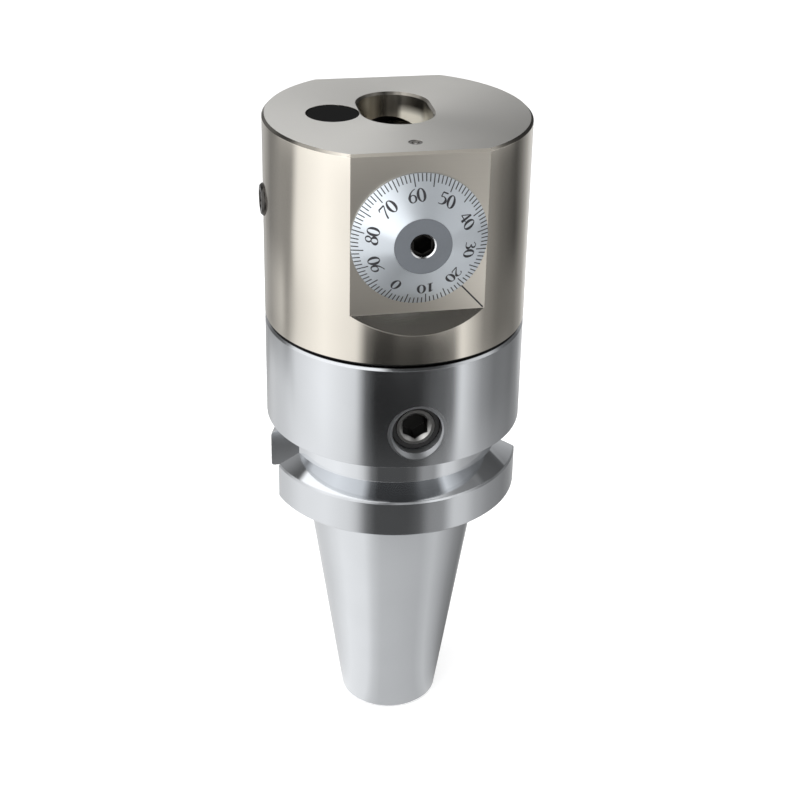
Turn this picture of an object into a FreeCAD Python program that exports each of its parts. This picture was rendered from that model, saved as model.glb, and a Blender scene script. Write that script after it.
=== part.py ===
"""Boring head on a 40 taper shank.

Origin: centre of the taper's gauge plane. +Z points from the shank to the head's face, -Y to the dial,
and X to the right as seen from the dial. All sizes are in millimetres.
"""
import FreeCAD, Part
import math
import os

V = FreeCAD.Vector
X_AXIS = V(1, 0, 0)
Y_AXIS = V(0, 1, 0)
Z_AXIS = V(0, 0, 1)

# Clearances
fixed_gap = 0.03            # between round pieces that are fixed in each other
running_gap = 0.05          # between a shaft or slide and its bore
thread_gap = 0.05           # between a screw and its threaded hole, both at the major diameter
seal_gap = 0.05             # round a rubber ring in its groove
dial_gap = 0.15             # between the dial ring and the flat behind it

# How far cutting shapes reach past what they cut
cut_over = 1.0
flat_cut_over = 8.0
slot_cut_under = 4.0        # below the crown of the carrier's bore

# Taper shank
gauge_r = 22.225
taper_slope = 7.0 / 48.0    # radius per length of the 7/24 taper
taper_length = 65.4
taper_end_chamfer = 1.0
relief_depth = 0.6
relief_z = 0.6
flange_r = 31.5
flange_z = 2.0
flange_edge = 0.5
groove_z = 16.6
groove_depth = 5.0          # from the flange's rim down to the groove's flat floor
groove_floor_width = 4.226
groove_half_angle = 30.0
body_over_flange = 0.5
seam_z = 49.0
seam_chamfer = 1.0
seam_relief = 0.3           # height of the relieved ring outside the shank's contact face
seam_relief_width = 1.5
keyway_width = 16.1
keyway_depth = 8.9          # from the flange's rim down to the keyway's floor
stud_thread_r = 8.0
stud_pilot_r = 8.5
stud_pilot_depth = 8.0
stud_thread_depth = 32.5
coolant_r = 4.0

# Coupling between shank and head
stub_wall = 14.0            # of the shank's body round the stub
stub_length = 38.5
stub_end_room = 1.5
stub_chamfer = 1.2
stub_mouth_chamfer = 0.8
coupling_depth = 17.9       # from the seam down to the coupling's axis
coupling_r = 6.0
coupling_mouth_r = 7.1
coupling_recess = 3.0
coupling_nose_r = 4.6
coupling_nose_length = 1.2
coupling_reach = 2.8         # how far the screw's body goes into the stub
coupling_hex = 6.0
coupling_hex_mouth_r = 3.85
coupling_hex_depth = 5.0
seal_width = 1.1
cone_base_r = 5.5
cone_tip_r = 1.5
cone_gap = 0.1
pin_r = 6.95
pin_front_room = 0.8
pin_front_r = 5.3
pin_front_bevel = 2.4
pin_shoulder_inset = 0.6
pin_shoulder_length = 1.6
seat_room = 0.2
seat_recess = 1.0
drive_pin_r = 2.5
drive_pin_half = 5.0

# Head body
head_length = 51.0
head_chamfer = 0.6
head_foot_chamfer = 0.3
flat_depth = 4.2
flat_foot_room = 2.55       # from the dial's rim down to the flat's foot
dial_depth = 20.6           # from the top face down to the dial's axis

# Tool carrier and the bore across the head
carrier_bore_r = 14.5
carrier_front_room = 0.5
carrier_back_room = 0.6
carrier_flat = 12.5
carrier_edge = 0.8
travel = 6.0
pitch = 0.5
dial_reading = 0.192        # turns shown on the dial in the modelled position
bar_r = 8.0
bar_depth = 21.9
bar_chamfer = 0.5

# Slot in the top face
slot_room = 0.4
slot_extra = 0.6
slot_chamfer = 0.6

# Lead screw, its nut, bearing stack and dial
nut_r = 6.0
nut_front_room = 0.3
nut_back_wall = 0.6
nut_wall = 5.7              # head's front wall round the nut's tube
screw_r = 4.0
screw_end_wall = 0.8
journal_r = 5.0
collar_r = 8.0
collar_width = 2.0
washer_r = 8.5
washer_width = 1.0
pocket_r = 9.05
pocket_depth = 6.6
retainer_hole_gap = 0.3
spanner_hole_r = 1.1
retainer_spanner_at = 7.6
journal_ring_r = 0.55
journal_ring_depth = 1.35
dial_rim_r = 15.85
dial_height = 4.9
dial_edge = 0.3
dial_seat_r = 4.5
dial_web = 2.05
hub_r = 6.65
hub_mouth_r = 2.7
hub_mouth_chamfer = 0.35
hub_face_width = 1.1
dial_hex = 4.0
dial_hex_depth = 3.5

# Guide screw in the right side
guide_y = 6.0
guide_r = 4.0
guide_dog_r = 2.9
guide_shoulder_room = 2.5
guide_dog_depth = 2.3
guide_dog_room = 0.4
guide_recess = 1.0
set_screw_hex = 4.0
set_screw_hex_depth = 4.0
set_screw_chamfer = 0.5
set_screw_mouth = 0.1       # bevel outside the socket's corners

# Lock: screw in the left side, shoe under the black plug
lock_bore_wall = 0.05       # between the shoe's bore and the slot's edge
lock_y = 1.0
lock_bore_r = 6.35
lock_bore_below = 9.2
shoe_gap = 0.25
shoe_height = 21.6
shoe_lift = 0.2
shoe_flat_at = 5.2
shoe_screw_gap = 0.05
lock_stroke = 0.2
lock_screw_r = 4.0
lock_screw_proud = 0.7
lock_dog_length = 1.0
lock_dog_r = 2.75
plug_height = 3.4
plug_recess = 0.1
plug_chamfer = 0.3

# Back cover and bar clamp
cover_r = 15.0
cover_room = 3.8
cover_recess = 0.3
cover_access_r = 4.3
cover_spanner_at = 9.5
cover_spanner_depth = 2.0
cover_ring_r = 0.5
cover_ring_inset = 1.4
bar_screw_r = 4.0
bar_screw_recess = 0.8
bar_socket_share = 2.0 / 3.0    # of the screw's length
bar_screw_tip = 0.5
bar_pad_recess = 0.1
bar_pad_length = 2.4
bar_pad_end_gap = 0.1

# Oiler in the top face
oiler_offset = 0.1
oiler_r = 1.6
oiler_recess = 0.1
oiler_length = 5.2
oiler_bore_r = 1.25
oiler_lip = 0.7
oiler_mouth_r = 0.9
oiler_ball_r = 1.2
oiler_ball_gap = 0.02
oiler_floor = 0.5
oiler_drill_r = 0.8
oiler_spring_r = 0.95
oiler_wire_r = 0.14
oiler_turns = 4.0
oiler_steps = 12            # straight lengths of wire per turn

# Worked out
body_r = flange_r + body_over_flange
groove_floor_r = flange_r - groove_depth
keyway_floor = flange_r - keyway_depth
stub_r = body_r - stub_wall
coupling_z = seam_z - coupling_depth
coupling_inner_y = stub_r - coupling_reach
pin_front_y = coupling_inner_y - pin_front_room
pin_shoulder_y = stub_r - pin_shoulder_inset
seat_inner_y = stub_r + seat_room
drive_pin_y = (stub_r + body_r) / 2.0
head_top_z = seam_z + head_length
dial_z = head_top_z - dial_depth
flat_y = body_r - flat_depth
flat_foot_z = dial_z - dial_rim_r - flat_foot_room
pocket_floor = flat_y - pocket_depth
carrier_bore_front = pocket_floor - nut_wall
carrier_front = carrier_bore_front - carrier_front_room
cover_inner_y = flat_y - cover_room
carrier_back = cover_inner_y - travel - carrier_back_room
nut_front = pocket_floor - nut_front_room
nut_back = bar_r + nut_back_wall
screw_inner_y = bar_r + screw_end_wall
journal_ring_at = flat_y - journal_ring_depth
slot_half = bar_r + slot_room
guide_outer_x = body_r - guide_recess
guide_shoulder_x = carrier_bore_r + guide_shoulder_room
guide_dog_x = carrier_bore_r - guide_dog_depth
guide_groove_x = guide_dog_x - guide_dog_room
lock_x = slot_half + slot_chamfer + lock_bore_wall + lock_bore_r
lock_bore_floor = dial_z - lock_bore_below
shoe_flat_x = lock_x + shoe_flat_at
lock_screw_outer_x = body_r + lock_screw_proud
lock_screw_body_x = shoe_flat_x + lock_dog_length
cover_ring_at = cover_inner_y + cover_ring_inset
bar_pad_front = bar_r + bar_pad_recess
bar_pad_back = bar_pad_front + bar_pad_length
bar_screw_inner = bar_pad_back + bar_pad_end_gap
bar_screw_outer = carrier_back - bar_screw_recess
oiler_y = pocket_floor + oiler_offset
carrier_shift = dial_reading * pitch
taper_end_r = gauge_r - taper_slope * taper_length
stub_end_z = seam_z - stub_length
collar_inner = pocket_floor + washer_width
collar_outer = collar_inner + collar_width
retainer_inner = collar_outer + washer_width
shoulder_y = flat_y + dial_gap
web_y = shoulder_y + dial_web
dial_face_y = flat_y + dial_height
hub_inner_y = web_y
shoe_floor = lock_bore_floor + shoe_lift
pin_travel_tip_y = pin_shoulder_y + cone_base_r - cone_tip_r


def rod_x(radius, x0, x1, y, z):
    """Cylinder along X from x0 to x1."""
    return Part.makeCylinder(radius, x1 - x0, V(x0, y, z), X_AXIS)


def rod_y(radius, y0, y1, x, z):
    """Cylinder along Y from y0 to y1."""
    return Part.makeCylinder(radius, y1 - y0, V(x, y0, z), Y_AXIS)


def rod_z(radius, z0, z1, x=0.0, y=0.0):
    """Cylinder along Z from z0 to z1."""
    return Part.makeCylinder(radius, z1 - z0, V(x, y, z0), Z_AXIS)


def turned(profile, base, axis):
    """Solid of revolution from (radius, distance along the axis) points."""
    side = Z_AXIS if abs(axis.dot(Z_AXIS)) < 0.5 else X_AXIS
    points = [base + side * r + axis * a for r, a in profile]
    face = Part.Face(Part.makePolygon(points + points[:1]))
    return face.revolve(base, axis, 360.0)


def turned_z(profile):
    """Solid of revolution about Z from (radius, z) points."""
    return turned(profile, V(0, 0, 0), Z_AXIS)


def turned_y(profile, z):
    """Solid of revolution about a line along Y at height z, from (radius, y) points."""
    return turned(profile, V(0, 0, z), Y_AXIS)


def prism(points, depth):
    """Straight prism on a closed outline."""
    return Part.Face(Part.makePolygon(points + points[:1])).extrude(depth)


def block(x0, x1, y0, y1, z0, z1):
    """Box between two corners."""
    return Part.makeBox(x1 - x0, y1 - y0, z1 - z0, V(x0, y0, z0))


def hex_prism(across, start, depth):
    """Hexagonal prism, measured across its flats, from a point along a vector."""
    axis = V(depth).normalize()
    side = Z_AXIS if abs(axis.dot(Z_AXIS)) < 0.5 else X_AXIS
    other = axis.cross(side)
    corner_r = across / math.sqrt(3.0)
    angles = [math.radians(60.0 * i) for i in range(6)]
    points = [start + side * corner_r * math.cos(a) + other * corner_r * math.sin(a) for a in angles]
    return prism(points, depth)


def ring(major_r, minor_r, y):
    """Rubber ring round the dial's axis, its round section drawn with eight sides."""
    angles = [math.radians(22.5 + 45.0 * i) for i in range(8)]
    return turned_y([(major_r + minor_r * math.cos(a), y + minor_r * math.sin(a)) for a in angles], dial_z)


def set_screw(radius, dog_r, outer, shoulder, tip, socket_depth, axis):
    """Headless screw from its outer face to its dog point, given as distances along the axis."""
    thread_r = radius - thread_gap
    length = shoulder - outer
    dog = tip - shoulder
    socket_r = set_screw_hex / math.sqrt(3.0)
    profile = [(0, 0), (thread_r - set_screw_chamfer, 0), (thread_r, set_screw_chamfer)]
    profile += [(thread_r, length - set_screw_chamfer), (thread_r - set_screw_chamfer, length)]
    profile += [(dog_r, length), (dog_r, length + dog), (0, length + dog)]
    screw = turned(profile, V(0, 0, 0), axis)
    screw = screw.cut(hex_prism(set_screw_hex, V(0, 0, 0), axis * socket_depth))
    mouth_r = socket_r + set_screw_mouth
    return screw.cut(Part.makeCone(mouth_r, 0, mouth_r, V(0, 0, 0), axis))


def taper_shank():
    """7/24 taper, drive flange with gripper groove, and the body that holds the head's stub."""
    tangent = math.tan(math.radians(groove_half_angle))
    floor_half = groove_floor_width / 2.0
    rim_half = floor_half + groove_depth * tangent
    body_half = floor_half + (body_r - groove_floor_r) * tangent
    ring_top = groove_z - rim_half
    chamfer_r = taper_end_r - taper_end_chamfer
    profile = [(0, -taper_length), (chamfer_r, -taper_length)]
    profile += [(taper_end_r, -taper_length + taper_end_chamfer), (gauge_r, 0), (gauge_r, relief_z)]
    profile += [(gauge_r - relief_depth, relief_z + 0.3), (gauge_r - relief_depth, flange_z)]
    profile += [(flange_r - flange_edge, flange_z), (flange_r, flange_z + flange_edge)]
    profile += [(flange_r, ring_top - flange_edge), (flange_r - flange_edge * tangent, ring_top)]
    profile += [(groove_floor_r, groove_z - floor_half), (groove_floor_r, groove_z + floor_half)]
    relief_top = seam_z - seam_relief
    land_r = body_r - seam_chamfer - seam_relief_width
    profile += [(body_r, groove_z + body_half), (body_r, relief_top - seam_chamfer)]
    profile += [(body_r - seam_chamfer, relief_top), (land_r, relief_top)]
    profile += [(land_r, seam_z), (0, seam_z)]
    shank = turned_z(profile)

    half = keyway_width / 2.0
    keyway_top = groove_z + floor_half
    for x0, x1 in ((keyway_floor, body_r + 1.0), (-body_r - 1.0, -keyway_floor)):
        shank = shank.cut(block(x0, x1, -half, half, flange_z - 1.0, keyway_top))

    bore_floor = stub_end_z - stub_end_room
    shank = shank.cut(rod_z(stub_r, bore_floor, seam_z))
    mouth_r = stub_r + stub_mouth_chamfer
    mouth_base = V(0, 0, seam_z - stub_mouth_chamfer)
    shank = shank.cut(Part.makeCone(stub_r, mouth_r, stub_mouth_chamfer, mouth_base))

    pilot_z = -taper_length + stud_pilot_depth
    thread_end_z = -taper_length + stud_thread_depth
    shank = shank.cut(rod_z(stud_pilot_r, -taper_length, pilot_z))
    shank = shank.cut(rod_z(stud_thread_r, pilot_z, thread_end_z))
    drill_depth = stud_thread_r - coolant_r
    shank = shank.cut(Part.makeCone(stud_thread_r, coolant_r, drill_depth, V(0, 0, thread_end_z)))
    shank = shank.cut(rod_z(coolant_r, thread_end_z, bore_floor))

    hole_r = coupling_r + thread_gap
    shank = shank.cut(rod_y(hole_r, -body_r - 1.0, body_r + 1.0, 0.0, coupling_z))
    mouth_depth = coupling_mouth_r - hole_r
    front = Part.makeCone(coupling_mouth_r, hole_r, mouth_depth, V(0, -body_r, coupling_z), Y_AXIS)
    ahead = rod_y(coupling_mouth_r, -body_r - 1.0, -body_r, 0.0, coupling_z)
    shank = shank.cut(front.fuse(ahead))
    shank = shank.cut(rod_z(drive_pin_r + fixed_gap, seam_z - drive_pin_half, seam_z, 0.0, drive_pin_y))
    return shank


def coupling_screw():
    """Cone screw in the front of the shank that pushes the coupling pin."""
    face = -body_r + coupling_recess
    cone_length = cone_base_r - cone_tip_r
    profile = [(0, face), (coupling_nose_r, face), (coupling_nose_r, face + coupling_nose_length)]
    profile += [(coupling_r, face + coupling_nose_length), (coupling_r, -coupling_inner_y)]
    profile += [(cone_base_r, -coupling_inner_y), (cone_tip_r, -coupling_inner_y + cone_length)]
    profile += [(0, -coupling_inner_y + cone_length)]
    screw = turned_y(profile, coupling_z)
    start = V(0, face, coupling_z)
    screw = screw.cut(hex_prism(coupling_hex, start, Y_AXIS * coupling_hex_depth))
    mouth_depth = coupling_hex_mouth_r - coupling_hex / 2.0
    return screw.cut(Part.makeCone(coupling_hex_mouth_r, coupling_hex / 2.0, mouth_depth, start, Y_AXIS))


def coupling_seal():
    """Rubber ring round the nose of the coupling screw."""
    inner = -body_r + coupling_recess + coupling_nose_length
    outer = inner - seal_width
    ring_outer = coupling_r
    ring_inner = coupling_nose_r + seal_gap
    edge = 0.25
    profile = [(ring_inner, inner), (ring_outer, inner), (ring_outer, outer + edge)]
    profile += [(ring_outer - edge, outer), (ring_inner + edge, outer), (ring_inner, outer + edge)]
    return turned_y(profile, coupling_z)


def coupling_pin():
    """Pin across the stub: a female cone for the screw in front, a male cone for the seat behind."""
    tip_y = pin_travel_tip_y
    profile = [(0, -pin_front_y), (pin_front_r, -pin_front_y), (pin_r, -pin_front_y + pin_front_bevel)]
    profile += [(pin_r, pin_shoulder_y - pin_shoulder_length), (cone_base_r, pin_shoulder_y)]
    profile += [(cone_tip_r, tip_y), (0, tip_y)]
    pin = turned_y(profile, coupling_z)
    screw_r_at_face = cone_base_r - (coupling_inner_y - pin_front_y)
    mouth_r = screw_r_at_face + cone_gap
    return pin.cut(Part.makeCone(mouth_r, 0, mouth_r, V(0, -pin_front_y, coupling_z), Y_AXIS))


def cone_seat():
    """Plug behind the pin, with the female cone that pulls the stub down."""
    outer = body_r - seat_recess
    profile = [(0, seat_inner_y), (coupling_r, seat_inner_y), (coupling_r, outer - set_screw_chamfer)]
    profile += [(coupling_r - set_screw_chamfer, outer), (0, outer)]
    seat = turned_y(profile, coupling_z)
    mouth_r = cone_base_r - (seat_inner_y - pin_shoulder_y) + cone_gap
    seat = seat.cut(Part.makeCone(mouth_r, 0, mouth_r, V(0, seat_inner_y, coupling_z), Y_AXIS))
    return seat.cut(hex_prism(coupling_hex, V(0, outer, coupling_z), -Y_AXIS * coupling_hex_depth))


def drive_pin():
    """Pin that keeps the head from turning on the shank."""
    low = seam_z - drive_pin_half
    high = seam_z + drive_pin_half
    edge = 0.4
    profile = [(0, low), (drive_pin_r - edge, low), (drive_pin_r, low + edge)]
    profile += [(drive_pin_r, high - edge), (drive_pin_r - edge, high), (0, high)]
    pin = turned_z(profile)
    pin.translate(V(0, drive_pin_y, 0))
    return pin


def flat_cutter(sign):
    """Everything outside one of the two flats, with its foot slope and its top chamfer."""
    outside = body_r + flat_cut_over
    top = head_top_z + cut_over
    drop = outside - flat_y
    edge_y = flat_y - head_chamfer
    outline = [(flat_y, flat_foot_z), (flat_y, head_top_z - head_chamfer), (edge_y, head_top_z)]
    outline += [(edge_y, top), (outside, top), (outside, flat_foot_z - drop)]
    points = [V(-outside, sign * y, z) for y, z in outline]
    return prism(points, V(2.0 * outside, 0, 0))


def slot_cutter():
    """Rounded slot for the boring bar in the top face, as wide as the bar's travel asks for."""
    back = travel + slot_extra
    low = dial_z + carrier_bore_r - slot_cut_under
    top = head_top_z + cut_over
    cutter = rod_z(slot_half, low, top)
    cutter = cutter.fuse(rod_z(slot_half, low, top, 0.0, back))
    cutter = cutter.fuse(block(-slot_half, slot_half, 0.0, back, low, top))
    wide = slot_half + slot_chamfer
    base = head_top_z - slot_chamfer
    for y in (0.0, back):
        cutter = cutter.fuse(Part.makeCone(slot_half, wide, slot_chamfer, V(0, y, base)))
    outline = [(-slot_half, base), (slot_half, base), (wide, head_top_z), (-wide, head_top_z)]
    bevel = prism([V(x, 0, z) for x, z in outline], V(0, back, 0))
    return cutter.fuse(bevel)


def head_body():
    """Round head with stub below, two flats, the carrier's bore across and the slot above it."""
    stub_fit = stub_r - fixed_gap
    profile = [(0, stub_end_z), (stub_fit - stub_chamfer, stub_end_z)]
    profile += [(stub_fit, stub_end_z + stub_chamfer), (stub_fit, seam_z)]
    profile += [(body_r - head_foot_chamfer, seam_z), (body_r, seam_z + head_foot_chamfer)]
    profile += [(body_r, head_top_z - head_chamfer), (body_r - head_chamfer, head_top_z)]
    profile += [(0, head_top_z)]
    head = turned_z(profile)
    head = head.cut(flat_cutter(-1.0)).cut(flat_cutter(1.0))

    head = head.cut(rod_y(carrier_bore_r, -carrier_bore_front, flat_y + 1.0, 0.0, dial_z))
    head = head.cut(rod_y(cover_r, cover_inner_y, flat_y + 1.0, 0.0, dial_z))
    head = head.cut(rod_y(nut_r + running_gap, -flat_y, 0.0, 0.0, dial_z))
    head = head.cut(rod_y(pocket_r, -flat_y - 1.0, -pocket_floor, 0.0, dial_z))
    head = head.cut(slot_cutter())

    head = head.cut(rod_z(lock_bore_r, lock_bore_floor, head_top_z + 1.0, -lock_x, lock_y))
    head = head.cut(rod_x(lock_screw_r, -body_r - 1.0, -lock_x, lock_y, dial_z))
    head = head.cut(rod_x(guide_r, 0.0, body_r + 1.0, guide_y, dial_z))

    oiler_bottom = head_top_z - oiler_recess - oiler_length
    head = head.cut(rod_z(oiler_r + fixed_gap, oiler_bottom, head_top_z + 1.0, 0.0, -oiler_y))
    head = head.cut(rod_z(oiler_drill_r, dial_z + pocket_r - 1.0, oiler_bottom, 0.0, -oiler_y))

    head = head.cut(rod_y(pin_r + running_gap, -stub_r - 1.0, stub_r + 1.0, 0.0, coupling_z))
    high = seam_z + drive_pin_half
    return head.cut(rod_z(drive_pin_r + fixed_gap, seam_z, high + 0.2, 0.0, drive_pin_y))


def tool_carrier():
    """Dark cylinder across the head, with the boring bar's bore."""
    radius = carrier_bore_r - running_gap
    profile = [(0, -carrier_front), (radius - carrier_edge, -carrier_front)]
    profile += [(radius, -carrier_front + carrier_edge), (radius, carrier_back - carrier_edge)]
    profile += [(radius - carrier_edge, carrier_back), (0, carrier_back)]
    carrier = turned_y(profile, dial_z)
    reach = carrier_bore_r + 1.0
    for z0, z1 in ((carrier_flat, reach), (-reach, -carrier_flat)):
        carrier = carrier.cut(block(-reach, reach, -carrier_front, carrier_back, dial_z + z0, dial_z + z1))

    top = dial_z + carrier_flat
    carrier = carrier.cut(rod_z(bar_r, top - bar_depth, top))
    mouth = Part.makeCone(bar_r, bar_r + bar_chamfer, bar_chamfer, V(0, 0, top - bar_chamfer))
    carrier = carrier.cut(mouth)
    carrier = carrier.cut(rod_y(nut_r + fixed_gap, -carrier_front, -nut_back, 0.0, dial_z))
    carrier = carrier.cut(rod_y(bar_screw_r, 0.0, carrier_back, 0.0, dial_z))

    room = guide_dog_r + 0.5
    groove_half = guide_dog_r + running_gap
    ends = (guide_y - travel - room, guide_y + room)
    groove = block(guide_groove_x, reach, ends[0], ends[1], dial_z - groove_half, dial_z + groove_half)
    carrier = carrier.cut(groove)
    carrier.translate(V(0, carrier_shift, 0))
    return carrier


def lead_nut():
    """Bronze nut in the carrier's front, its tube running in the head's front wall."""
    edge = 0.4
    profile = [(screw_r + running_gap, -nut_front), (nut_r - edge, -nut_front), (nut_r, -nut_front + edge)]
    profile += [(nut_r, -nut_back), (screw_r + running_gap, -nut_back)]
    nut = turned_y(profile, dial_z)
    nut.translate(V(0, carrier_shift, 0))
    return nut


def lead_screw():
    """Left-hand fine-pitch screw with its thrust collar, journal and hexagon socket."""
    outer = dial_face_y - hub_face_width - fixed_gap
    profile = [(0, -outer), (screw_r - thread_gap, -outer), (screw_r - thread_gap, -web_y)]
    profile += [(dial_seat_r, -web_y), (dial_seat_r, -shoulder_y), (journal_r, -shoulder_y)]
    profile += [(journal_r, -collar_outer), (collar_r, -collar_outer), (collar_r, -collar_inner)]
    profile += [(screw_r, -collar_inner), (screw_r, -screw_inner_y - 0.5), (screw_r - 0.5, -screw_inner_y)]
    profile += [(0, -screw_inner_y)]
    screw = turned_y(profile, dial_z)
    return screw.cut(hex_prism(dial_hex, V(0, -outer, dial_z), Y_AXIS * dial_hex_depth))


def thrust_washer(inner_r, y0):
    """Bronze ring beside the collar."""
    y1 = y0 + washer_width
    return turned_y([(inner_r, y0), (washer_r, y0), (washer_r, y1), (inner_r, y1)], dial_z)


def front_thrust_washer():
    """Washer on the dial's side of the collar."""
    return thrust_washer(journal_r + retainer_hole_gap, -retainer_inner)


def rear_thrust_washer():
    """Washer on the nut's side of the collar."""
    return thrust_washer(screw_r + retainer_hole_gap, -collar_inner)


def retainer_ring():
    """Threaded ring under the dial that holds the bearing stack in its pocket."""
    outer = flat_y - 0.1
    radius = pocket_r - thread_gap
    hole_r = journal_r + retainer_hole_gap
    inner = retainer_inner
    profile = [(hole_r, -outer), (radius, -outer), (radius, -inner), (hole_r, -inner)]
    retainer = turned_y(profile, dial_z)
    groove_r = journal_r + 2.0 * journal_ring_r + 2.0 * seal_gap
    half = journal_ring_r + seal_gap
    retainer = retainer.cut(rod_y(groove_r, -journal_ring_at - half, -journal_ring_at + half, 0.0, dial_z))
    for x in (-retainer_spanner_at, retainer_spanner_at):
        retainer = retainer.cut(rod_y(spanner_hole_r, -outer, -retainer_inner, x, dial_z))
    return retainer


def journal_seal():
    """Rubber ring between retainer ring and journal."""
    return ring(journal_r + seal_gap + journal_ring_r, journal_ring_r, -journal_ring_at)


def dial_ring():
    """Conical dial, clamped between the lead screw's shoulder and the hub."""
    hub_seat_r = hub_r + fixed_gap
    profile = [(dial_seat_r + fixed_gap, -shoulder_y), (dial_rim_r, -shoulder_y)]
    profile += [(dial_rim_r, -shoulder_y - dial_edge), (hub_seat_r, -dial_face_y)]
    profile += [(hub_seat_r, -web_y), (dial_seat_r + fixed_gap, -web_y)]
    return turned_y(profile, dial_z)


def dial_hub():
    """Flush disc on the end of the lead screw that clamps the dial."""
    inner_face = dial_face_y - hub_face_width
    profile = [(screw_r, -hub_inner_y), (hub_r, -hub_inner_y), (hub_r, -dial_face_y)]
    profile += [(hub_mouth_r + hub_mouth_chamfer, -dial_face_y)]
    profile += [(hub_mouth_r, -dial_face_y + hub_mouth_chamfer)]
    profile += [(hub_mouth_r, -inner_face), (screw_r, -inner_face)]
    return turned_y(profile, dial_z)


def guide_screw():
    """Dog-point screw that keeps the carrier from turning and stops it at both ends."""
    places = (-guide_outer_x, -guide_shoulder_x, -guide_dog_x)
    screw = set_screw(guide_r, guide_dog_r, *places, set_screw_hex_depth, -X_AXIS)
    screw.translate(V(guide_outer_x, guide_y, dial_z))
    return screw


def lock_screw():
    """Screw in the left side that pushes the clamp shoe against the carrier."""
    places = (-lock_screw_outer_x, -lock_screw_body_x, -shoe_flat_x - shoe_screw_gap)
    screw = set_screw(lock_screw_r, lock_dog_r, *places, set_screw_hex_depth, X_AXIS)
    screw.translate(V(-lock_screw_outer_x, lock_y, dial_z))
    return screw


def clamp_shoe():
    """Upright round shoe, scooped out to the carrier's radius and flat where the screw meets it."""
    radius = lock_bore_r - shoe_gap
    top = shoe_floor + shoe_height
    shoe = rod_z(radius, shoe_floor, top, -lock_x, lock_y)
    scoop_r = carrier_bore_r - running_gap + lock_stroke + running_gap
    shoe = shoe.cut(rod_y(scoop_r, lock_y - lock_bore_r - 1.0, lock_y + lock_bore_r + 1.0, 0.0, dial_z))
    outside = lock_x + radius + 1.0
    return shoe.cut(block(-outside, -shoe_flat_x, lock_y - radius, lock_y + radius, shoe_floor, top))


def bore_plug():
    """Black disc that closes the shoe's bore, just below the top face."""
    top = head_top_z - plug_recess
    radius = lock_bore_r - thread_gap
    profile = [(0, top - plug_height), (radius, top - plug_height), (radius, top - plug_chamfer)]
    profile += [(radius - plug_chamfer, top), (0, top)]
    plug = turned_z(profile)
    plug.translate(V(-lock_x, lock_y, 0))
    return plug


def back_cover():
    """Threaded disc that closes the carrier's bore, with a key hole for the bar screw."""
    outer = flat_y - cover_recess
    radius = cover_r - thread_gap
    edge = 0.5
    profile = [(cover_access_r, cover_inner_y), (radius, cover_inner_y), (radius, outer - edge)]
    profile += [(radius - edge, outer), (cover_access_r + edge, outer), (cover_access_r, outer - edge)]
    cover = turned_y(profile, dial_z)
    half = cover_ring_r + seal_gap
    floor_r = radius - 2.0 * cover_ring_r - seal_gap
    groove = rod_y(cover_r, cover_ring_at - half, cover_ring_at + half, 0.0, dial_z)
    groove = groove.cut(rod_y(floor_r, cover_ring_at - half, cover_ring_at + half, 0.0, dial_z))
    cover = cover.cut(groove)
    for x in (-cover_spanner_at, cover_spanner_at):
        cover = cover.cut(rod_y(spanner_hole_r, outer - cover_spanner_depth, outer, x, dial_z))
    return cover


def cover_seal():
    """Rubber ring in the back cover's groove."""
    major_r = cover_r - thread_gap - cover_ring_r
    return ring(major_r, cover_ring_r, cover_ring_at)


def bar_screw():
    """Screw in the back of the carrier that clamps the boring bar."""
    dog_r = bar_screw_r - thread_gap - set_screw_chamfer
    places = (-bar_screw_outer, -bar_screw_inner - bar_screw_tip, -bar_screw_inner)
    socket_depth = bar_socket_share * (bar_screw_outer - bar_screw_inner)
    screw = set_screw(bar_screw_r, dog_r, *places, socket_depth, -Y_AXIS)
    screw.translate(V(0, bar_screw_outer + carrier_shift, dial_z))
    return screw


def bar_pad():
    """Brass pad between the bar screw and the boring bar."""
    radius = bar_screw_r - thread_gap
    pad = rod_y(radius, bar_pad_front, bar_pad_back, 0.0, dial_z)
    pad.translate(V(0, carrier_shift, 0))
    return pad


def oiler_top():
    """Height of the oiler cup's rim."""
    return head_top_z - oiler_recess


def oiler_ball_z():
    """Height of the ball's centre, just under the cup's lip."""
    rise = math.sqrt(oiler_ball_r ** 2 - oiler_mouth_r ** 2)
    return oiler_top() - oiler_lip - rise - oiler_ball_gap


def oiler_cup():
    """Small pressed-in cup."""
    top = oiler_top()
    bottom = top - oiler_length
    profile = [(oiler_drill_r, bottom), (oiler_r, bottom), (oiler_r, top), (oiler_mouth_r, top)]
    profile += [(oiler_mouth_r, top - oiler_lip), (oiler_bore_r, top - oiler_lip)]
    profile += [(oiler_bore_r, bottom + oiler_floor), (oiler_drill_r, bottom + oiler_floor)]
    cup = turned_z(profile)
    cup.translate(V(0, -oiler_y, 0))
    return cup


def oiler_ball():
    """Spring-loaded ball under the cup's lip."""
    return Part.makeSphere(oiler_ball_r, V(0, -oiler_y, oiler_ball_z()))


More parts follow.
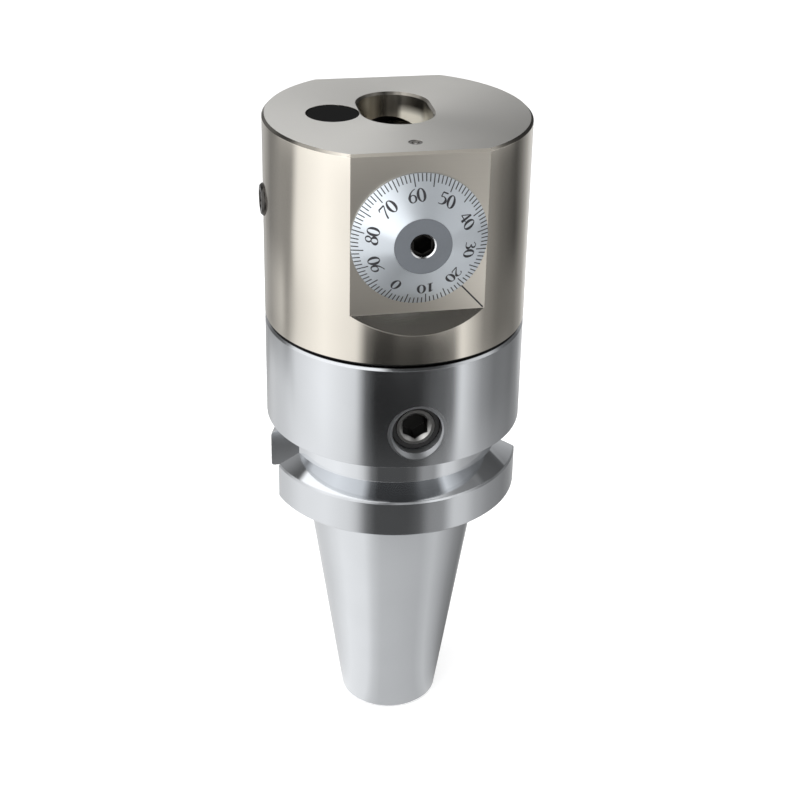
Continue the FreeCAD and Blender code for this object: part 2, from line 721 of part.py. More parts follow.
def oiler_spring():
    """Coil spring of square wire under the ball."""
    low = oiler_top() - oiler_length + oiler_floor + oiler_wire_r
    contact = math.sqrt((oiler_ball_r + oiler_wire_r + 0.02) ** 2 - oiler_spring_r ** 2)
    high = oiler_ball_z() - contact
    steps = int(oiler_turns * oiler_steps)
    rise = (high - low) / steps
    angles = [2.0 * math.pi * i / oiler_steps for i in range(steps + 1)]
    points = [V(math.cos(a), math.sin(a), 0) * oiler_spring_r for a in angles]
    points = [point + V(0, 0, rise * i) for i, point in enumerate(points)]
    near = oiler_spring_r - oiler_wire_r
    far = oiler_spring_r + oiler_wire_r
    corners = ((near, -oiler_wire_r), (far, -oiler_wire_r), (far, oiler_wire_r), (near, oiler_wire_r))
    section = [V(x, 0, z) for x, z in corners]
    right_corner = 1
    wire = Part.makePolygon(section + section[:1])
    spring = Part.makePolygon(points).makePipeShell([wire], True, False, right_corner)
    spring.translate(V(0, -oiler_y, low))
    return spring


pieces = {
    "taper_shank": taper_shank,
    "coupling_screw": coupling_screw,
    "coupling_seal": coupling_seal,
    "coupling_pin": coupling_pin,
    "cone_seat": cone_seat,
    "drive_pin": drive_pin,
    "head_body": head_body,
    "tool_carrier": tool_carrier,
    "lead_nut": lead_nut,
    "lead_screw": lead_screw,
    "front_thrust_washer": front_thrust_washer,
    "rear_thrust_washer": rear_thrust_washer,
    "retainer_ring": retainer_ring,
    "journal_seal": journal_seal,
    "dial_ring": dial_ring,
    "dial_hub": dial_hub,
    "guide_screw": guide_screw,
    "lock_screw": lock_screw,
    "clamp_shoe": clamp_shoe,
    "bore_plug": bore_plug,
    "back_cover": back_cover,
    "cover_seal": cover_seal,
    "bar_screw": bar_screw,
    "bar_pad": bar_pad,
    "oiler_cup": oiler_cup,
    "oiler_ball": oiler_ball,
    "oiler_spring": oiler_spring,
}

os.makedirs("parts", exist_ok=True)
for name, make in pieces.items():
    shape = make()
    shape.exportStep("parts/" + name + ".step")
    print(name, shape.ShapeType, len(shape.Solids), shape.isValid(), round(shape.Volume, 2))
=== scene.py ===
import math

import bmesh
import bpy
from bpy.props import FloatProperty, FloatVectorProperty, IntProperty, PointerProperty
from mathutils import Matrix, Vector


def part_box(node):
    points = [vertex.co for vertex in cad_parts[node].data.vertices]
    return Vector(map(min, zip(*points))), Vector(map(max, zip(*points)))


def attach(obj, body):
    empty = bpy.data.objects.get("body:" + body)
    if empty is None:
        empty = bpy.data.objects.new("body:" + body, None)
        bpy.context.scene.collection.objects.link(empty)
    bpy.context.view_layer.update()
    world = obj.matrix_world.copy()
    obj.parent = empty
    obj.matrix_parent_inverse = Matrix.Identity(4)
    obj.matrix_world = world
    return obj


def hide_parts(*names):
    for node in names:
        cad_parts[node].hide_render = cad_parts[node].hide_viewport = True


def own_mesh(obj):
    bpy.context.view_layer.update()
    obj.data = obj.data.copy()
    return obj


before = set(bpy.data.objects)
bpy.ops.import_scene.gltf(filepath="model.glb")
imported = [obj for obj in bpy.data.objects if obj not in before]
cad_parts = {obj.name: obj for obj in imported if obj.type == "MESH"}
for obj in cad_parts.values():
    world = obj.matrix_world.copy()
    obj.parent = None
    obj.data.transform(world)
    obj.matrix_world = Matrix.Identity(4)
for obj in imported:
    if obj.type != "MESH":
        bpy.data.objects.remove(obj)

bl_info = {
    "name": "Boring Head",
    "version": (1, 0, 0),
    "blender": (4, 5, 0),
    "location": "View3D > Sidebar > Boring Head",
    "description": "Metal finishes, dial markings, stud thread and studio for a boring head",
    "category": "Object",
}

MM = 0.001
SAME_PLANE, SAME_EDGE = 0.001 * MM, 0.01 * MM
ORIGIN = (0.0, 0.0, 0.0)
UP, BACK = (0.0, 0.0, 1.0), (0.0, 1.0, 0.0)
RIGHT, LEFT = (1.0, 0.0, 0.0), (-1.0, 0.0, 0.0)

# Sizes read from the frame. The head's flats lie above HEAD_FOOT_Z.
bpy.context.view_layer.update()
DIAL_LOW, DIAL_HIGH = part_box("dial_ring")
DIAL_AXIS_Z = (DIAL_LOW.z + DIAL_HIGH.z) / 2
DIAL_RIM_R = (DIAL_HIGH.x - DIAL_LOW.x) / 2
DIAL_CENTRE = (0.0, 0.0, DIAL_AXIS_Z)
HUB_FRONT_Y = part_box("dial_hub")[0].y
COUPLING_Z = sum(corner.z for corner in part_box("coupling_screw")) / 2
FLOOR_Z, SEAM_Z = (corner.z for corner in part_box("taper_shank"))
HEAD_TOP_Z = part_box("head_body")[1].z
HEAD_FOOT_Z = 55.0 * MM
HEAD_POINTS = [vertex.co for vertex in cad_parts["head_body"].data.vertices]
FLAT_Y = max(point.y for point in HEAD_POINTS if point.z > HEAD_TOP_Z - 10.0 * MM)
FLAT_FOOT_Z = min(point.z for point in HEAD_POINTS
                  if abs(abs(point.y) - FLAT_Y) < SAME_PLANE and point.z > HEAD_FOOT_Z)

# Shank: dull recess round the coupling screw darkened with painted shade, finely ground groove lightened with
# painted light, painted shadow along the joint line
RECESS_R, RECESS_BOTTOM_Y = 7.2 * MM, -20.0 * MM
GROOVE_LOW, GROOVE_HIGH, GROOVE_R = 11.7 * MM, 21.3 * MM, 31.3 * MM
SEAM_SHADOW_FROM_R, SEAM_SHADOW_FADE, SEAM_SHADOW_TONE = 30.5 * MM, 0.1 * MM, 0.03
SEAM_SHADOW_ON_SHANK, SEAM_SHADOW_ON_HEAD = 0.72 * MM, 0.4 * MM

# Head: everything inside BORES_R belongs to the slot and the bores, which are darkened by painted shade, and
# one patch on the slot's far wall is a painted highlight
BORES_R = 24.0 * MM
FLAT_TOLERANCE, FACE_TOLERANCE = 0.05 * MM, 0.02 * MM
RIM_CHAMFER, RIM_REACH = 0.3 * MM, 0.32 * MM
# How deep the top chamfer's painted dark reflection reaches, and where along X it fades in
EDGE_DEPTH, EDGE_PALE_X, EDGE_DARK_X = 0.8 * MM, 17.0 * MM, 23.0 * MM
PATCH_LEFT, PATCH_RIGHT, PATCH_DEPTH = (2.5 * MM, 3.7 * MM), (7.6 * MM, 10.4 * MM), (5.2 * MM, 2.8 * MM)
LAPPED_LOW, LAPPED_HIGH = (0.715, 0.705, 0.675), (0.785, 0.775, 0.745)
HIGHLIGHT_PAINT = (1.0, 0.96, 0.84)

# Roughness of the head's areas, from the darker to the lighter marks
SIDE_GLOSS, TOP_GLOSS, FOOT_GLOSS, FLAT_GLOSS = (0.13, 0.21), (0.40, 0.50), (0.19, 0.25), (0.28, 0.34)
SLOT_GLOSS, RIM_GLOSS = (0.20, 0.40), 0.55

# Small pieces: depths and radii of mouths, threads and marks
HUB_MOUTH_R, HUB_CHAMFER_START, HUB_CHAMFER_END, HUB_METALLIC = 3.06 * MM, 0.03 * MM, 0.34 * MM, 0.35
SOCKET_SHARE, SOCKET_PALE, SOCKET_DARK = 0.42, 0.4 * MM, 1.4 * MM
THREAD_START, THREAD_SINK = 8.6 * MM, 0.15 * MM
INDEX_ENDS = ((9.94 * MM, 67.3 * MM), (15.5 * MM, 61.2 * MM))
NUMERAL_WIDTH, THIN, THICK, SWELL = 0.5, 0.06, 0.155, 1.6
MARKS_SHARE = 0.35
ROUND_STEPS = 96

# Camera, fitted to the photograph, and lamps: name, place, aim, size and share of the power
CAMERA_PLACE, CAMERA_AIM = (-0.07234, -0.37153, 0.22696), (0.19785, 0.87224, -0.44729)
CAMERA_LENS, CAMERA_SENSOR, CAMERA_ROLL = 75.62, 36.0, math.radians(1.79)
CAMERA_SHIFT = (-0.05, -0.0625)
LAMPS = (("lamp_top", (-0.10, -0.15, 0.75), ORIGIN, 0.7, 1.0),
         ("lamp_left", (-0.70, -0.45, 0.30), (0.0, 0.0, 0.02), 0.5, 0.6),
         ("lamp_right", (0.65, -0.50, 0.35), (0.0, 0.0, 0.02), 0.5, 0.35))
WORLD_LIGHT, FLOOR_GLOW = 0.55, 0.45

# Light tent: radius and height along its wall, then its brightness by bearing in degrees, 0 at the dial
TENT_PROFILE = ((0.002, FLOOR_Z + 0.1 * MM), (0.058, FLOOR_Z + 0.1 * MM), (0.09, -0.04), (0.09, 0.05),
                (0.40, 0.26), (0.40, 0.90), (0.002, 1.25))
TENT_FLOOR = {-180: 0.9, -150: 0.8, -138: 0.78, -118: 0.83, -82: 1.08, -47: 1.0, -36: 0.78, -24: 0.66,
              0: 0.63, 33: 0.58, 52: 0.68, 68: 0.54, 92: 0.32, 114: 0.22, 128: 0.28, 142: 0.8}
TENT_SKIRT = {-180: 0.7, -150: 0.55, -142: 0.62, -130: 0.76, -121: 0.74, -108: 0.8, -90: 1.0, -64: 1.06,
              -44: 0.9, -38: 0.72, -30: 0.21, -23: 0.08, 2: 0.08, 11: 0.12, 19: 0.32, 30: 0.34, 39: 0.78,
              50: 0.72, 60: 0.5, 76: 0.34, 100: 0.25, 116: 0.32, 128: 0.45}
TENT_LOW_WALL = {-180: 0.7, -142: 0.42, -130: 0.29, -112: 0.46, -102: 0.35, -93: 0.9, -64: 1.16, -44: 0.94,
                 -38: 0.88, -31: 0.13, -24: 0.02, 8: 0.03, 18: 0.1, 27: 0.13, 34: 0.18, 41: 0.96, 48: 0.7,
                 60: 0.35, 74: 0.22, 88: 0.23, 100: 0.19, 114: 0.31, 128: 0.66}
TENT_WALL = {-180: 0.7, -142: 0.46, -130: 0.37, -119: 0.5, -110: 0.66, -102: 0.3, -89: 0.84, -64: 1.16,
             -44: 0.98, -38: 0.96, -31: 0.12, -24: 0.02, -14: 0.03, -6: 0.05, 8: 0.04, 18: 0.06, 27: 0.11,
             34: 0.22, 40: 0.96, 48: 0.66, 60: 0.27, 74: 0.16, 88: 0.17, 100: 0.19, 114: 0.34, 128: 0.74}
TENT_SHOULDER = {-180: 0.7, -141: 0.42, -130: 0.22, -112: 0.31, -97: 0.28, -90: 1.0, -64: 1.25, -44: 1.05,
                 -30: 1.1, -20: 0.34, -8: 0.11, 2: 0.06, 9: 0.085, 15: 0.3, 24: 0.42, 33: 0.56, 40: 0.74,
                 50: 0.38, 60: 0.3, 74: 0.15, 95: 0.06, 104: 0.18, 116: 0.42, 127: 0.7}
TENT_STRIP = {-10: 0.44, 8: 0.44, 14: 0.78, 20: 1.3}
TENT_MIDDLE = {-180: 0.96, -166: 0.72, -156: 0.2, -148: 0.34, -138: 0.32, -130: 0.12, -119: 0.12, -113: 1.1,
               -60: 1.45, -40: 1.9, -24: 1.44, -8: 0.77, 12: 0.48, 30: 0.38, 48: 0.48, 62: 0.8, 86: 0.8,
               97: 0.14, 118: 0.08, 150: 0.08, 162: 0.27, 172: 0.8}
TENT_CROWN = {-180: 0.6, -155: 0.8, -140: 1.1, -118: 1.32, -60: 1.3, -27: 1.2, -15: 0.05, 44: 0.05, 54: 0.2,
              64: 0.85, 74: 0.8, 88: 0.3, 100: 0.2, 180: 0.6}


def length_setting(name, description, size):
    """Setting for a length, in metres."""
    return FloatProperty(name=name, description=description, default=size, unit="LENGTH", precision=6)


def colour_setting(name, description, colour):
    """Setting for a finish's colour."""
    return FloatVectorProperty(name=name, description=description, default=colour, subtype="COLOR",
                               min=0.0, max=1.0)


class DialSettings(bpy.types.PropertyGroup):
    """Sizes of the marks cut into the dial and beside it."""

    divisions: IntProperty(name="Divisions", description="Marks round the dial", default=100, min=1)
    long_every: IntProperty(name="Long Every", description="Every so many marks is long", default=5, min=1)
    short_mark: length_setting("Short Mark", "Length of a short mark", 1.85 * MM)
    long_mark: length_setting("Long Mark", "Length of a long mark", 2.95 * MM)
    mark_width: length_setting("Mark Width", "Width of a mark", 0.24 * MM)
    zero_angle: FloatProperty(name="Zero Angle", description="Where the zero stands, clockwise from the top",
                              default=math.radians(209.7), subtype="ANGLE")
    number_height: length_setting("Number Height", "Height of the numbers", 2.8 * MM)
    number_width: FloatProperty(name="Number Width", default=0.72,
                                description="Width of a digit with its gap, as a share of its height")
    number_radius: length_setting("Number Radius", "Radius at the middle of the numbers", 11.5 * MM)
    ink_depth: length_setting("Ink Depth", "Depth of the filled marks", 0.1 * MM)
    ink_proud: length_setting("Ink Proud", "How far the fill stands over the metal", 0.03 * MM)
    index_width: length_setting("Index Width", "Width of the index line on the flat", 0.36 * MM)


class ThreadSettings(bpy.types.PropertyGroup):
    """Thread in the shank's small end."""

    hole_radius: length_setting("Hole Radius", "Radius of the tapped hole", 8.0 * MM)
    pitch: length_setting("Pitch", "Pitch of the stud thread", 2.0 * MM)
    turns: FloatProperty(name="Turns", description="Turns of thread cut in the hole", default=11.0, min=1.0)
    crest_depth: length_setting("Crest Depth", "Height of the thread over the hole's wall", 1.0 * MM)


class OilerSettings(bpy.types.PropertyGroup):
    """Spring under the oiler's ball."""

    turns: FloatProperty(name="Turns", description="Turns of the spring", default=4.0, min=1.0)
    wire_radius: length_setting("Wire Radius", "Radius of the spring's wire", 0.14 * MM)


class FinishSettings(bpy.types.PropertyGroup):
    """Colours of the metals and the small parts."""

    steel: colour_setting("Shank Steel", "Ground and turned steel", (0.70, 0.72, 0.745))
    nickel: colour_setting("Head Nickel", "Satin nickel on the head", (0.80, 0.755, 0.675))
    silver: colour_setting("Dial Silver", "Satin silver on the dial", (0.73, 0.78, 0.83))
    hub: colour_setting("Hub Grey", "Matt grey disc in the dial", (0.17, 0.185, 0.205))
    oxide: colour_setting("Black Oxide", "Blackened steel", (0.050, 0.048, 0.045))
    screw: colour_setting("Screw Steel", "Dark heat-treated screws", (0.22, 0.21, 0.20))
    coupling: colour_setting("Hardened Steel", "Hardened coupling screw, pin and seat", (0.56, 0.555, 0.54))
    bright: colour_setting("Bright Steel", "Small bright pieces", (0.72, 0.72, 0.72))
    black: colour_setting("Plug Black", "Black plug", (0.010, 0.010, 0.010))
    bronze: colour_setting("Bronze", "Nut and washers", (0.58, 0.38, 0.19))
    brass: colour_setting("Brass", "Clamp pad", (0.72, 0.55, 0.26))


class StageSettings(bpy.types.PropertyGroup):
    """Floor, cards and lamps."""

    floor_radius: FloatProperty(name="Floor Radius", description="Radius of the pale floor", default=4.0,
                                unit="LENGTH")
    tent_strength: FloatProperty(name="Tent Strength", description="Brightness of the tent's white cloth",
                                 default=1.0, min=0.0)
    lamp_watts: FloatProperty(name="Lamp Power", description="Power of the large soft lamp", default=5.0,
                              min=0.0)


def new_material(name):
    """Empty node material with its output and one principled shader."""
    material = bpy.data.materials.new(name)
    material.use_nodes = True
    tree = material.node_tree
    tree.nodes.clear()
    output = tree.nodes.new("ShaderNodeOutputMaterial")
    shader = tree.nodes.new("ShaderNodeBsdfPrincipled")
    tree.links.new(shader.outputs["BSDF"], output.inputs["Surface"])
    return material, tree, shader


def feed(tree, target, value):
    """Links a socket, or sets a plain value."""
    if isinstance(value, bpy.types.NodeSocket):
        tree.links.new(value, target)
    else:
        target.default_value = value


def calc(tree, operation, first, second=0.0):
    """Math node on sockets or numbers."""
    node = tree.nodes.new("ShaderNodeMath")
    node.operation = operation
    feed(tree, node.inputs[0], first)
    feed(tree, node.inputs[1], second)
    return node.outputs[0]


def vector_calc(tree, operation, first, second=ORIGIN, result="Vector"):
    """Vector math node on sockets or vectors."""
    node = tree.nodes.new("ShaderNodeVectorMath")
    node.operation = operation
    feed(tree, node.inputs[0], first)
    feed(tree, node.inputs[1], second)
    return node.outputs[result]


def between(tree, value, low, high, from_low=0.0, from_high=1.0):
    """Remaps a socket from one range to another, clamped."""
    node = tree.nodes.new("ShaderNodeMapRange")
    feed(tree, node.inputs["Value"], value)
    feed(tree, node.inputs["From Min"], from_low)
    feed(tree, node.inputs["From Max"], from_high)
    feed(tree, node.inputs["To Min"], low)
    feed(tree, node.inputs["To Max"], high)
    return node.outputs["Result"]


def object_place(tree, centre):
    """Position in the object's own space, from a centre."""
    place = tree.nodes.new("ShaderNodeTexCoord").outputs["Object"]
    return vector_calc(tree, "SUBTRACT", place, centre)


def split(tree, vector):
    """X, Y and Z of a vector socket."""
    node = tree.nodes.new("ShaderNodeSeparateXYZ")
    feed(tree, node.inputs[0], vector)
    return node.outputs[0], node.outputs[1], node.outputs[2]


def join_vector(tree, x=0.0, y=0.0, z=0.0):
    """Vector from three sockets or numbers."""
    node = tree.nodes.new("ShaderNodeCombineXYZ")
    for target, value in zip(node.inputs, (x, y, z)):
        feed(tree, target, value)
    return node.outputs[0]


def over(tree, value, limit):
    """1 where a value is over a limit, else 0."""
    return calc(tree, "GREATER_THAN", value, limit)


def under(tree, value, limit):
    """1 where a value is under a limit, else 0."""
    return calc(tree, "LESS_THAN", value, limit)


def rise(tree, value, start, end):
    """0 up to a start, 1 from an end, and a slope between them."""
    return between(tree, value, 0.0, 1.0, start, end)


def fall(tree, value, start, end):
    """1 up to a start, 0 from an end, and a slope between them."""
    return between(tree, value, 1.0, 0.0, start, end)


def product(tree, *masks):
    """Masks multiplied together."""
    whole = masks[0]
    for mask in masks[1:]:
        whole = calc(tree, "MULTIPLY", whole, mask)
    return whole


def size_of(tree, value):
    """A value without its sign."""
    return calc(tree, "ABSOLUTE", value)


def off_axis(tree, place, axis):
    """Distance of a point from an axis."""
    across = vector_calc(tree, "MULTIPLY", place, tuple(1.0 - abs(a) for a in axis))
    return vector_calc(tree, "LENGTH", across, result="Value")


def lathe_distance(tree, place, axis):
    """Distance along the turning axis plus distance from it: constant along every turned groove."""
    along = vector_calc(tree, "DOT_PRODUCT", place, axis, "Value")
    return calc(tree, "ADD", along, off_axis(tree, place, axis))


def lathe_tangent(tree, place, axis):
    """Direction round the turning axis."""
    return vector_calc(tree, "NORMALIZE", vector_calc(tree, "CROSS_PRODUCT", axis, place))


def line_noise(tree, distance, spacing, detail=2.0):
    """Noise that only changes across the tool marks."""
    node = tree.nodes.new("ShaderNodeTexNoise")
    node.noise_dimensions = "1D"
    feed(tree, node.inputs["W"], distance)
    node.inputs["Scale"].default_value = 1.0 / spacing
    node.inputs["Detail"].default_value = detail
    return node.outputs["Fac"]


def cloud_noise(tree, place, spacing):
    """Even noise in all directions."""
    node = tree.nodes.new("ShaderNodeTexNoise")
    feed(tree, node.inputs["Vector"], place)
    node.inputs["Scale"].default_value = 1.0 / spacing
    node.inputs["Detail"].default_value = 3.0
    return node.outputs["Fac"]


def mix_colour(tree, share, first, second):
    """Blend of two colours by a share socket."""
    node = tree.nodes.new("ShaderNodeMix")
    node.data_type = "RGBA"
    feed(tree, node.inputs["Factor"], share)
    feed(tree, node.inputs["A"], (*first, 1.0) if isinstance(first, tuple) else first)
    feed(tree, node.inputs["B"], (*second, 1.0) if isinstance(second, tuple) else second)
    return node.outputs["Result"]


def mix_value(tree, share, first, second):
    """Blend of two numbers by a share socket."""
    node = tree.nodes.new("ShaderNodeMix")
    feed(tree, node.inputs["Factor"], share)
    feed(tree, node.inputs["A"], first)
    feed(tree, node.inputs["B"], second)
    return node.outputs["Result"]


def edge_normal(tree, radius):
    """Normal that rounds sharp edges a little."""
    node = tree.nodes.new("ShaderNodeBevel")
    node.samples = 4
    node.inputs["Radius"].default_value = radius
    return node.outputs["Normal"]


def bumped(tree, height, depth, normal=None):
    """Normal pushed by a height socket, with its depth in metres."""
    node = tree.nodes.new("ShaderNodeBump")
    node.inputs["Strength"].default_value = 1.0
    node.inputs["Distance"].default_value = depth
    feed(tree, node.inputs["Height"], height)
    if normal is not None:
        feed(tree, node.inputs["Normal"], normal)
    return node.outputs["Normal"]


def shaded(colour, share):
    """The same colour, darker or lighter."""
    return tuple(min(1.0, c * share) for c in colour)


def brush(tree, shader, place, axis, stretch):
    """Draws the gloss out along the marks round an axis."""
    shader.inputs["Anisotropic"].default_value = stretch
    shader.inputs["Anisotropic Rotation"].default_value = 0.25
    feed(tree, shader.inputs["Tangent"], lathe_tangent(tree, place, axis))


def shader_of(material):
    """The principled shader of a finished material."""
    return next(node for node in material.node_tree.nodes if node.type == "BSDF_PRINCIPLED")


def touch_up(tree, shader, mask, tone, roughness=None):
    """Changes the colour where a mask is 1, and the roughness too if one is given."""
    colour, rough = shader.inputs["Base Color"], shader.inputs["Roughness"]
    feed(tree, colour, mix_colour(tree, mask, colour.links[0].from_socket, tone))
    if roughness is not None:
        feed(tree, rough, mix_value(tree, mask, rough.links[0].from_socket, roughness))


def oil_line(tree, place, low, high):
    """How much painted shadow of the joint line stands at a point of the outer wall: full between two
    heights.
    """
    outside = over(tree, off_axis(tree, place, UP), SEAM_SHADOW_FROM_R)
    height = split(tree, place)[2]
    return product(tree, outside, rise(tree, height, low - SEAM_SHADOW_FADE, low),
                   fall(tree, height, high, high + SEAM_SHADOW_FADE))


def turned_metal(name, colour, roughness, axis, centre=ORIGIN, spacing=0.35 * MM, stretch=0.55,
                 mark_depth=0.0012 * MM, metallic=1.0):
    """Lathe-turned or cylindrically ground metal: fine marks round the axis, streaked gloss, soft edges."""
    material, tree, shader = new_material(name)
    place = object_place(tree, centre)
    marks = line_noise(tree, lathe_distance(tree, place, axis), spacing)
    tone = mix_value(tree, MARKS_SHARE, cloud_noise(tree, place, 12.0 * MM), marks)
    shade = mix_colour(tree, tone, shaded(colour, 0.94), shaded(colour, 1.04))
    shader.inputs["Metallic"].default_value = metallic
    feed(tree, shader.inputs["Base Color"], shade)
    feed(tree, shader.inputs["Roughness"], between(tree, tone, roughness * 0.8, roughness * 1.2))
    feed(tree, shader.inputs["Normal"], bumped(tree, marks, mark_depth, edge_normal(tree, 0.12 * MM)))
    brush(tree, shader, place, axis, stretch)
    return material


def shank_metal(name, colour):
    """Ground steel with a dull recess round the screw darkened by painted shade, a finely ground groove
    lightened by painted light, and a painted shadow along the joint line.
    """
    material = turned_metal(name, colour, 0.17, UP)
    tree, shader = material.node_tree, shader_of(material)
    place = object_place(tree, ORIGIN)
    _, y, z = split(tree, place)
    from_screw = off_axis(tree, object_place(tree, (0.0, 0.0, COUPLING_Z)), BACK)
    recess = product(tree, under(tree, from_screw, RECESS_R), under(tree, y, RECESS_BOTTOM_Y))
    groove = product(tree, under(tree, off_axis(tree, place, UP), GROOVE_R),
                     over(tree, z, GROOVE_LOW), under(tree, z, GROOVE_HIGH))
    # painted shade: the recess round the coupling screw is darkened; its higher roughness is its dull finish
    touch_up(tree, shader, recess, shaded(colour, 0.62), 0.42)
    # painted light: the groove is lightened, standing in for light reflected between its flanks; its low
    # roughness is its fine grinding
    touch_up(tree, shader, groove, shaded(colour, 1.1), 0.07)
    # painted shadow along the joint line with the head
    seam_shadow = oil_line(tree, place, SEAM_Z - SEAM_SHADOW_ON_SHANK, SEAM_Z)
    touch_up(tree, shader, seam_shadow, shaded(colour, SEAM_SHADOW_TONE))
    return material


def head_metal(name, colour):
    """Satin nickel: ground round the side, lapped on the top face, milled on the two flats."""
    material, tree, shader = new_material(name)
    place = object_place(tree, ORIGIN)
    x, y, z = split(tree, place)
    _, facing_y, facing_z = split(tree, tree.nodes.new("ShaderNodeTexCoord").outputs["Normal"])
    depth, sideways = size_of(tree, y), size_of(tree, facing_y)
    from_flat = size_of(tree, calc(tree, "SUBTRACT", depth, FLAT_Y))
    from_rim = size_of(tree, calc(tree, "SUBTRACT", depth, FLAT_Y - RIM_CHAMFER))
    on_flat = product(tree, under(tree, from_flat, FLAT_TOLERANCE), over(tree, sideways, 0.99))
    on_foot = product(tree, over(tree, depth, FLAT_Y), over(tree, facing_z, 0.2),
                      under(tree, z, FLAT_FOOT_Z + FLAT_TOLERANCE))
    on_rim = product(tree, under(tree, from_rim, RIM_REACH), over(tree, sideways, 0.6),
                     over(tree, facing_z, 0.4))
    on_top = over(tree, z, HEAD_TOP_Z - FACE_TOLERANCE)
    inside = product(tree, under(tree, off_axis(tree, place, UP), BORES_R),
                     calc(tree, "SUBTRACT", 1.0, on_top))
    # painted dark reflection on the top chamfer, growing towards both sides
    painted_dark_edge = product(tree, over(tree, z, HEAD_TOP_Z - EDGE_DEPTH), fall(tree, facing_z, 0.85, 0.95),
                      rise(tree, facing_z, 0.15, 0.5), rise(tree, size_of(tree, x), EDGE_PALE_X, EDGE_DARK_X))
    # painted highlight: a bright, nearly matt patch on the slot's far wall, standing in for light falling on
    # it
    painted_highlight_patch = product(tree, rise(tree, x, *PATCH_LEFT), fall(tree, x, *PATCH_RIGHT),
                        fall(tree, z, *(HEAD_TOP_Z - down for down in PATCH_DEPTH)), inside)

    ground = line_noise(tree, lathe_distance(tree, place, UP), 0.3 * MM)
    milled = line_noise(tree, calc(tree, "ADD", z, calc(tree, "MULTIPLY", x, 0.02)), 0.4 * MM)
    lapped = cloud_noise(tree, place, 0.4 * MM)
    broached = line_noise(tree, x, 2.8 * MM, 1.0)
    marks = mix_value(tree, on_flat, mix_value(tree, on_top, ground, lapped), milled)
    marks = mix_value(tree, on_foot, mix_value(tree, inside, marks, broached), 0.5)
    tone = mix_value(tree, MARKS_SHARE, cloud_noise(tree, place, 14.0 * MM), marks)

    rough = between(tree, tone, *SIDE_GLOSS)
    for area, gloss in ((on_top, TOP_GLOSS), (on_foot, FOOT_GLOSS), (on_flat, FLAT_GLOSS)):
        rough = mix_value(tree, area, rough, between(tree, tone, *gloss))
    rough = mix_value(tree, on_rim, rough, RIM_GLOSS)
    rough = mix_value(tree, inside, rough, between(tree, broached, *SLOT_GLOSS))

    shade = mix_colour(tree, tone, shaded(colour, 0.95), shaded(colour, 1.04))
    shade = mix_colour(tree, on_top, shade, mix_colour(tree, tone, LAPPED_LOW, LAPPED_HIGH))
    shade = mix_colour(tree, painted_dark_edge, shade, shaded(colour, 0.35))
    # painted shade: inside the slot and bores the nickel is darkened to a quarter to a half; the streaks
    # across it follow the broach marks
    slot_painted_shade = mix_colour(tree, rise(tree, broached, 0.35, 0.65), shaded(colour, 0.24), shaded(colour, 0.46))
    shade = mix_colour(tree, inside, shade, mix_colour(tree, painted_highlight_patch, slot_painted_shade, HIGHLIGHT_PAINT))
    # painted shadow along the joint line with the shank, on the head's lower edge
    seam_shadow = oil_line(tree, place, SEAM_Z - SEAM_SHADOW_FADE, SEAM_Z + SEAM_SHADOW_ON_HEAD)
    feed(tree, shader.inputs["Base Color"], mix_colour(tree, seam_shadow, shade, shaded(colour, SEAM_SHADOW_TONE)))
    feed(tree, shader.inputs["Metallic"], mix_value(tree, painted_highlight_patch, 1.0, 0.1))
    feed(tree, shader.inputs["Roughness"], rough)
    feed(tree, shader.inputs["Normal"], bumped(tree, marks, 0.001 * MM, edge_normal(tree, 0.15 * MM)))
    brush(tree, shader, place, UP, 0.5)
    return material


def socket_shade(tree, axis, mouth, radius):
    """How much painted shade stands at a point: none on the face, full a little way inside a wrench socket.
    """
    from_mouth = object_place(tree, mouth)
    down = vector_calc(tree, "DOT_PRODUCT", from_mouth, axis, "Value")
    inside = under(tree, off_axis(tree, from_mouth, axis), radius)
    return product(tree, inside, rise(tree, down, SOCKET_PALE, SOCKET_DARK))


def plain_metal(name, colour, roughness, metallic=1.0, socket=None, socket_tone=0.16):
    """Evenly finished metal with fine tumbling grain, a little wear on its edges and painted shade in its
    wrench socket.
    """
    material, tree, shader = new_material(name)
    place = object_place(tree, ORIGIN)
    fine = cloud_noise(tree, place, 0.4 * MM)
    tone = mix_value(tree, 0.5, fine, cloud_noise(tree, place, 6.0 * MM))
    shade = mix_colour(tree, tone, shaded(colour, 0.85), shaded(colour, 1.12))
    if socket is not None:
        # painted shade inside the wrench socket
        shade = mix_colour(tree, socket_shade(tree, *socket), shade, shaded(colour, socket_tone))
    shader.inputs["Metallic"].default_value = metallic
    feed(tree, shader.inputs["Base Color"], shade)
    feed(tree, shader.inputs["Roughness"], between(tree, tone, roughness * 0.8, roughness * 1.2))
    feed(tree, shader.inputs["Normal"], bumped(tree, fine, 0.004 * MM, edge_normal(tree, 0.1 * MM)))
    return material


def hub_metal(name, colour, edge_colour):
    """Matt grey coating with a bright cut chamfer round the wrench hole, and painted shade on the wall inside
    it.
    """
    material = plain_metal(name, colour, 0.55, metallic=HUB_METALLIC)
    tree, shader = material.node_tree, shader_of(material)
    place = object_place(tree, DIAL_CENTRE)
    inward = split(tree, place)[1]
    near = under(tree, off_axis(tree, place, BACK), HUB_MOUTH_R)
    chamfer = product(tree, near, over(tree, inward, HUB_FRONT_Y + HUB_CHAMFER_START))
    wall = product(tree, near, over(tree, inward, HUB_FRONT_Y + HUB_CHAMFER_END))
    touch_up(tree, shader, chamfer, edge_colour, 0.22)
    # painted shade: the wall inside the wrench hole is nearly black
    touch_up(tree, shader, wall, shaded(edge_colour, 0.02))
    feed(tree, shader.inputs["Metallic"], mix_value(tree, chamfer, HUB_METALLIC, 1.0))
    return material


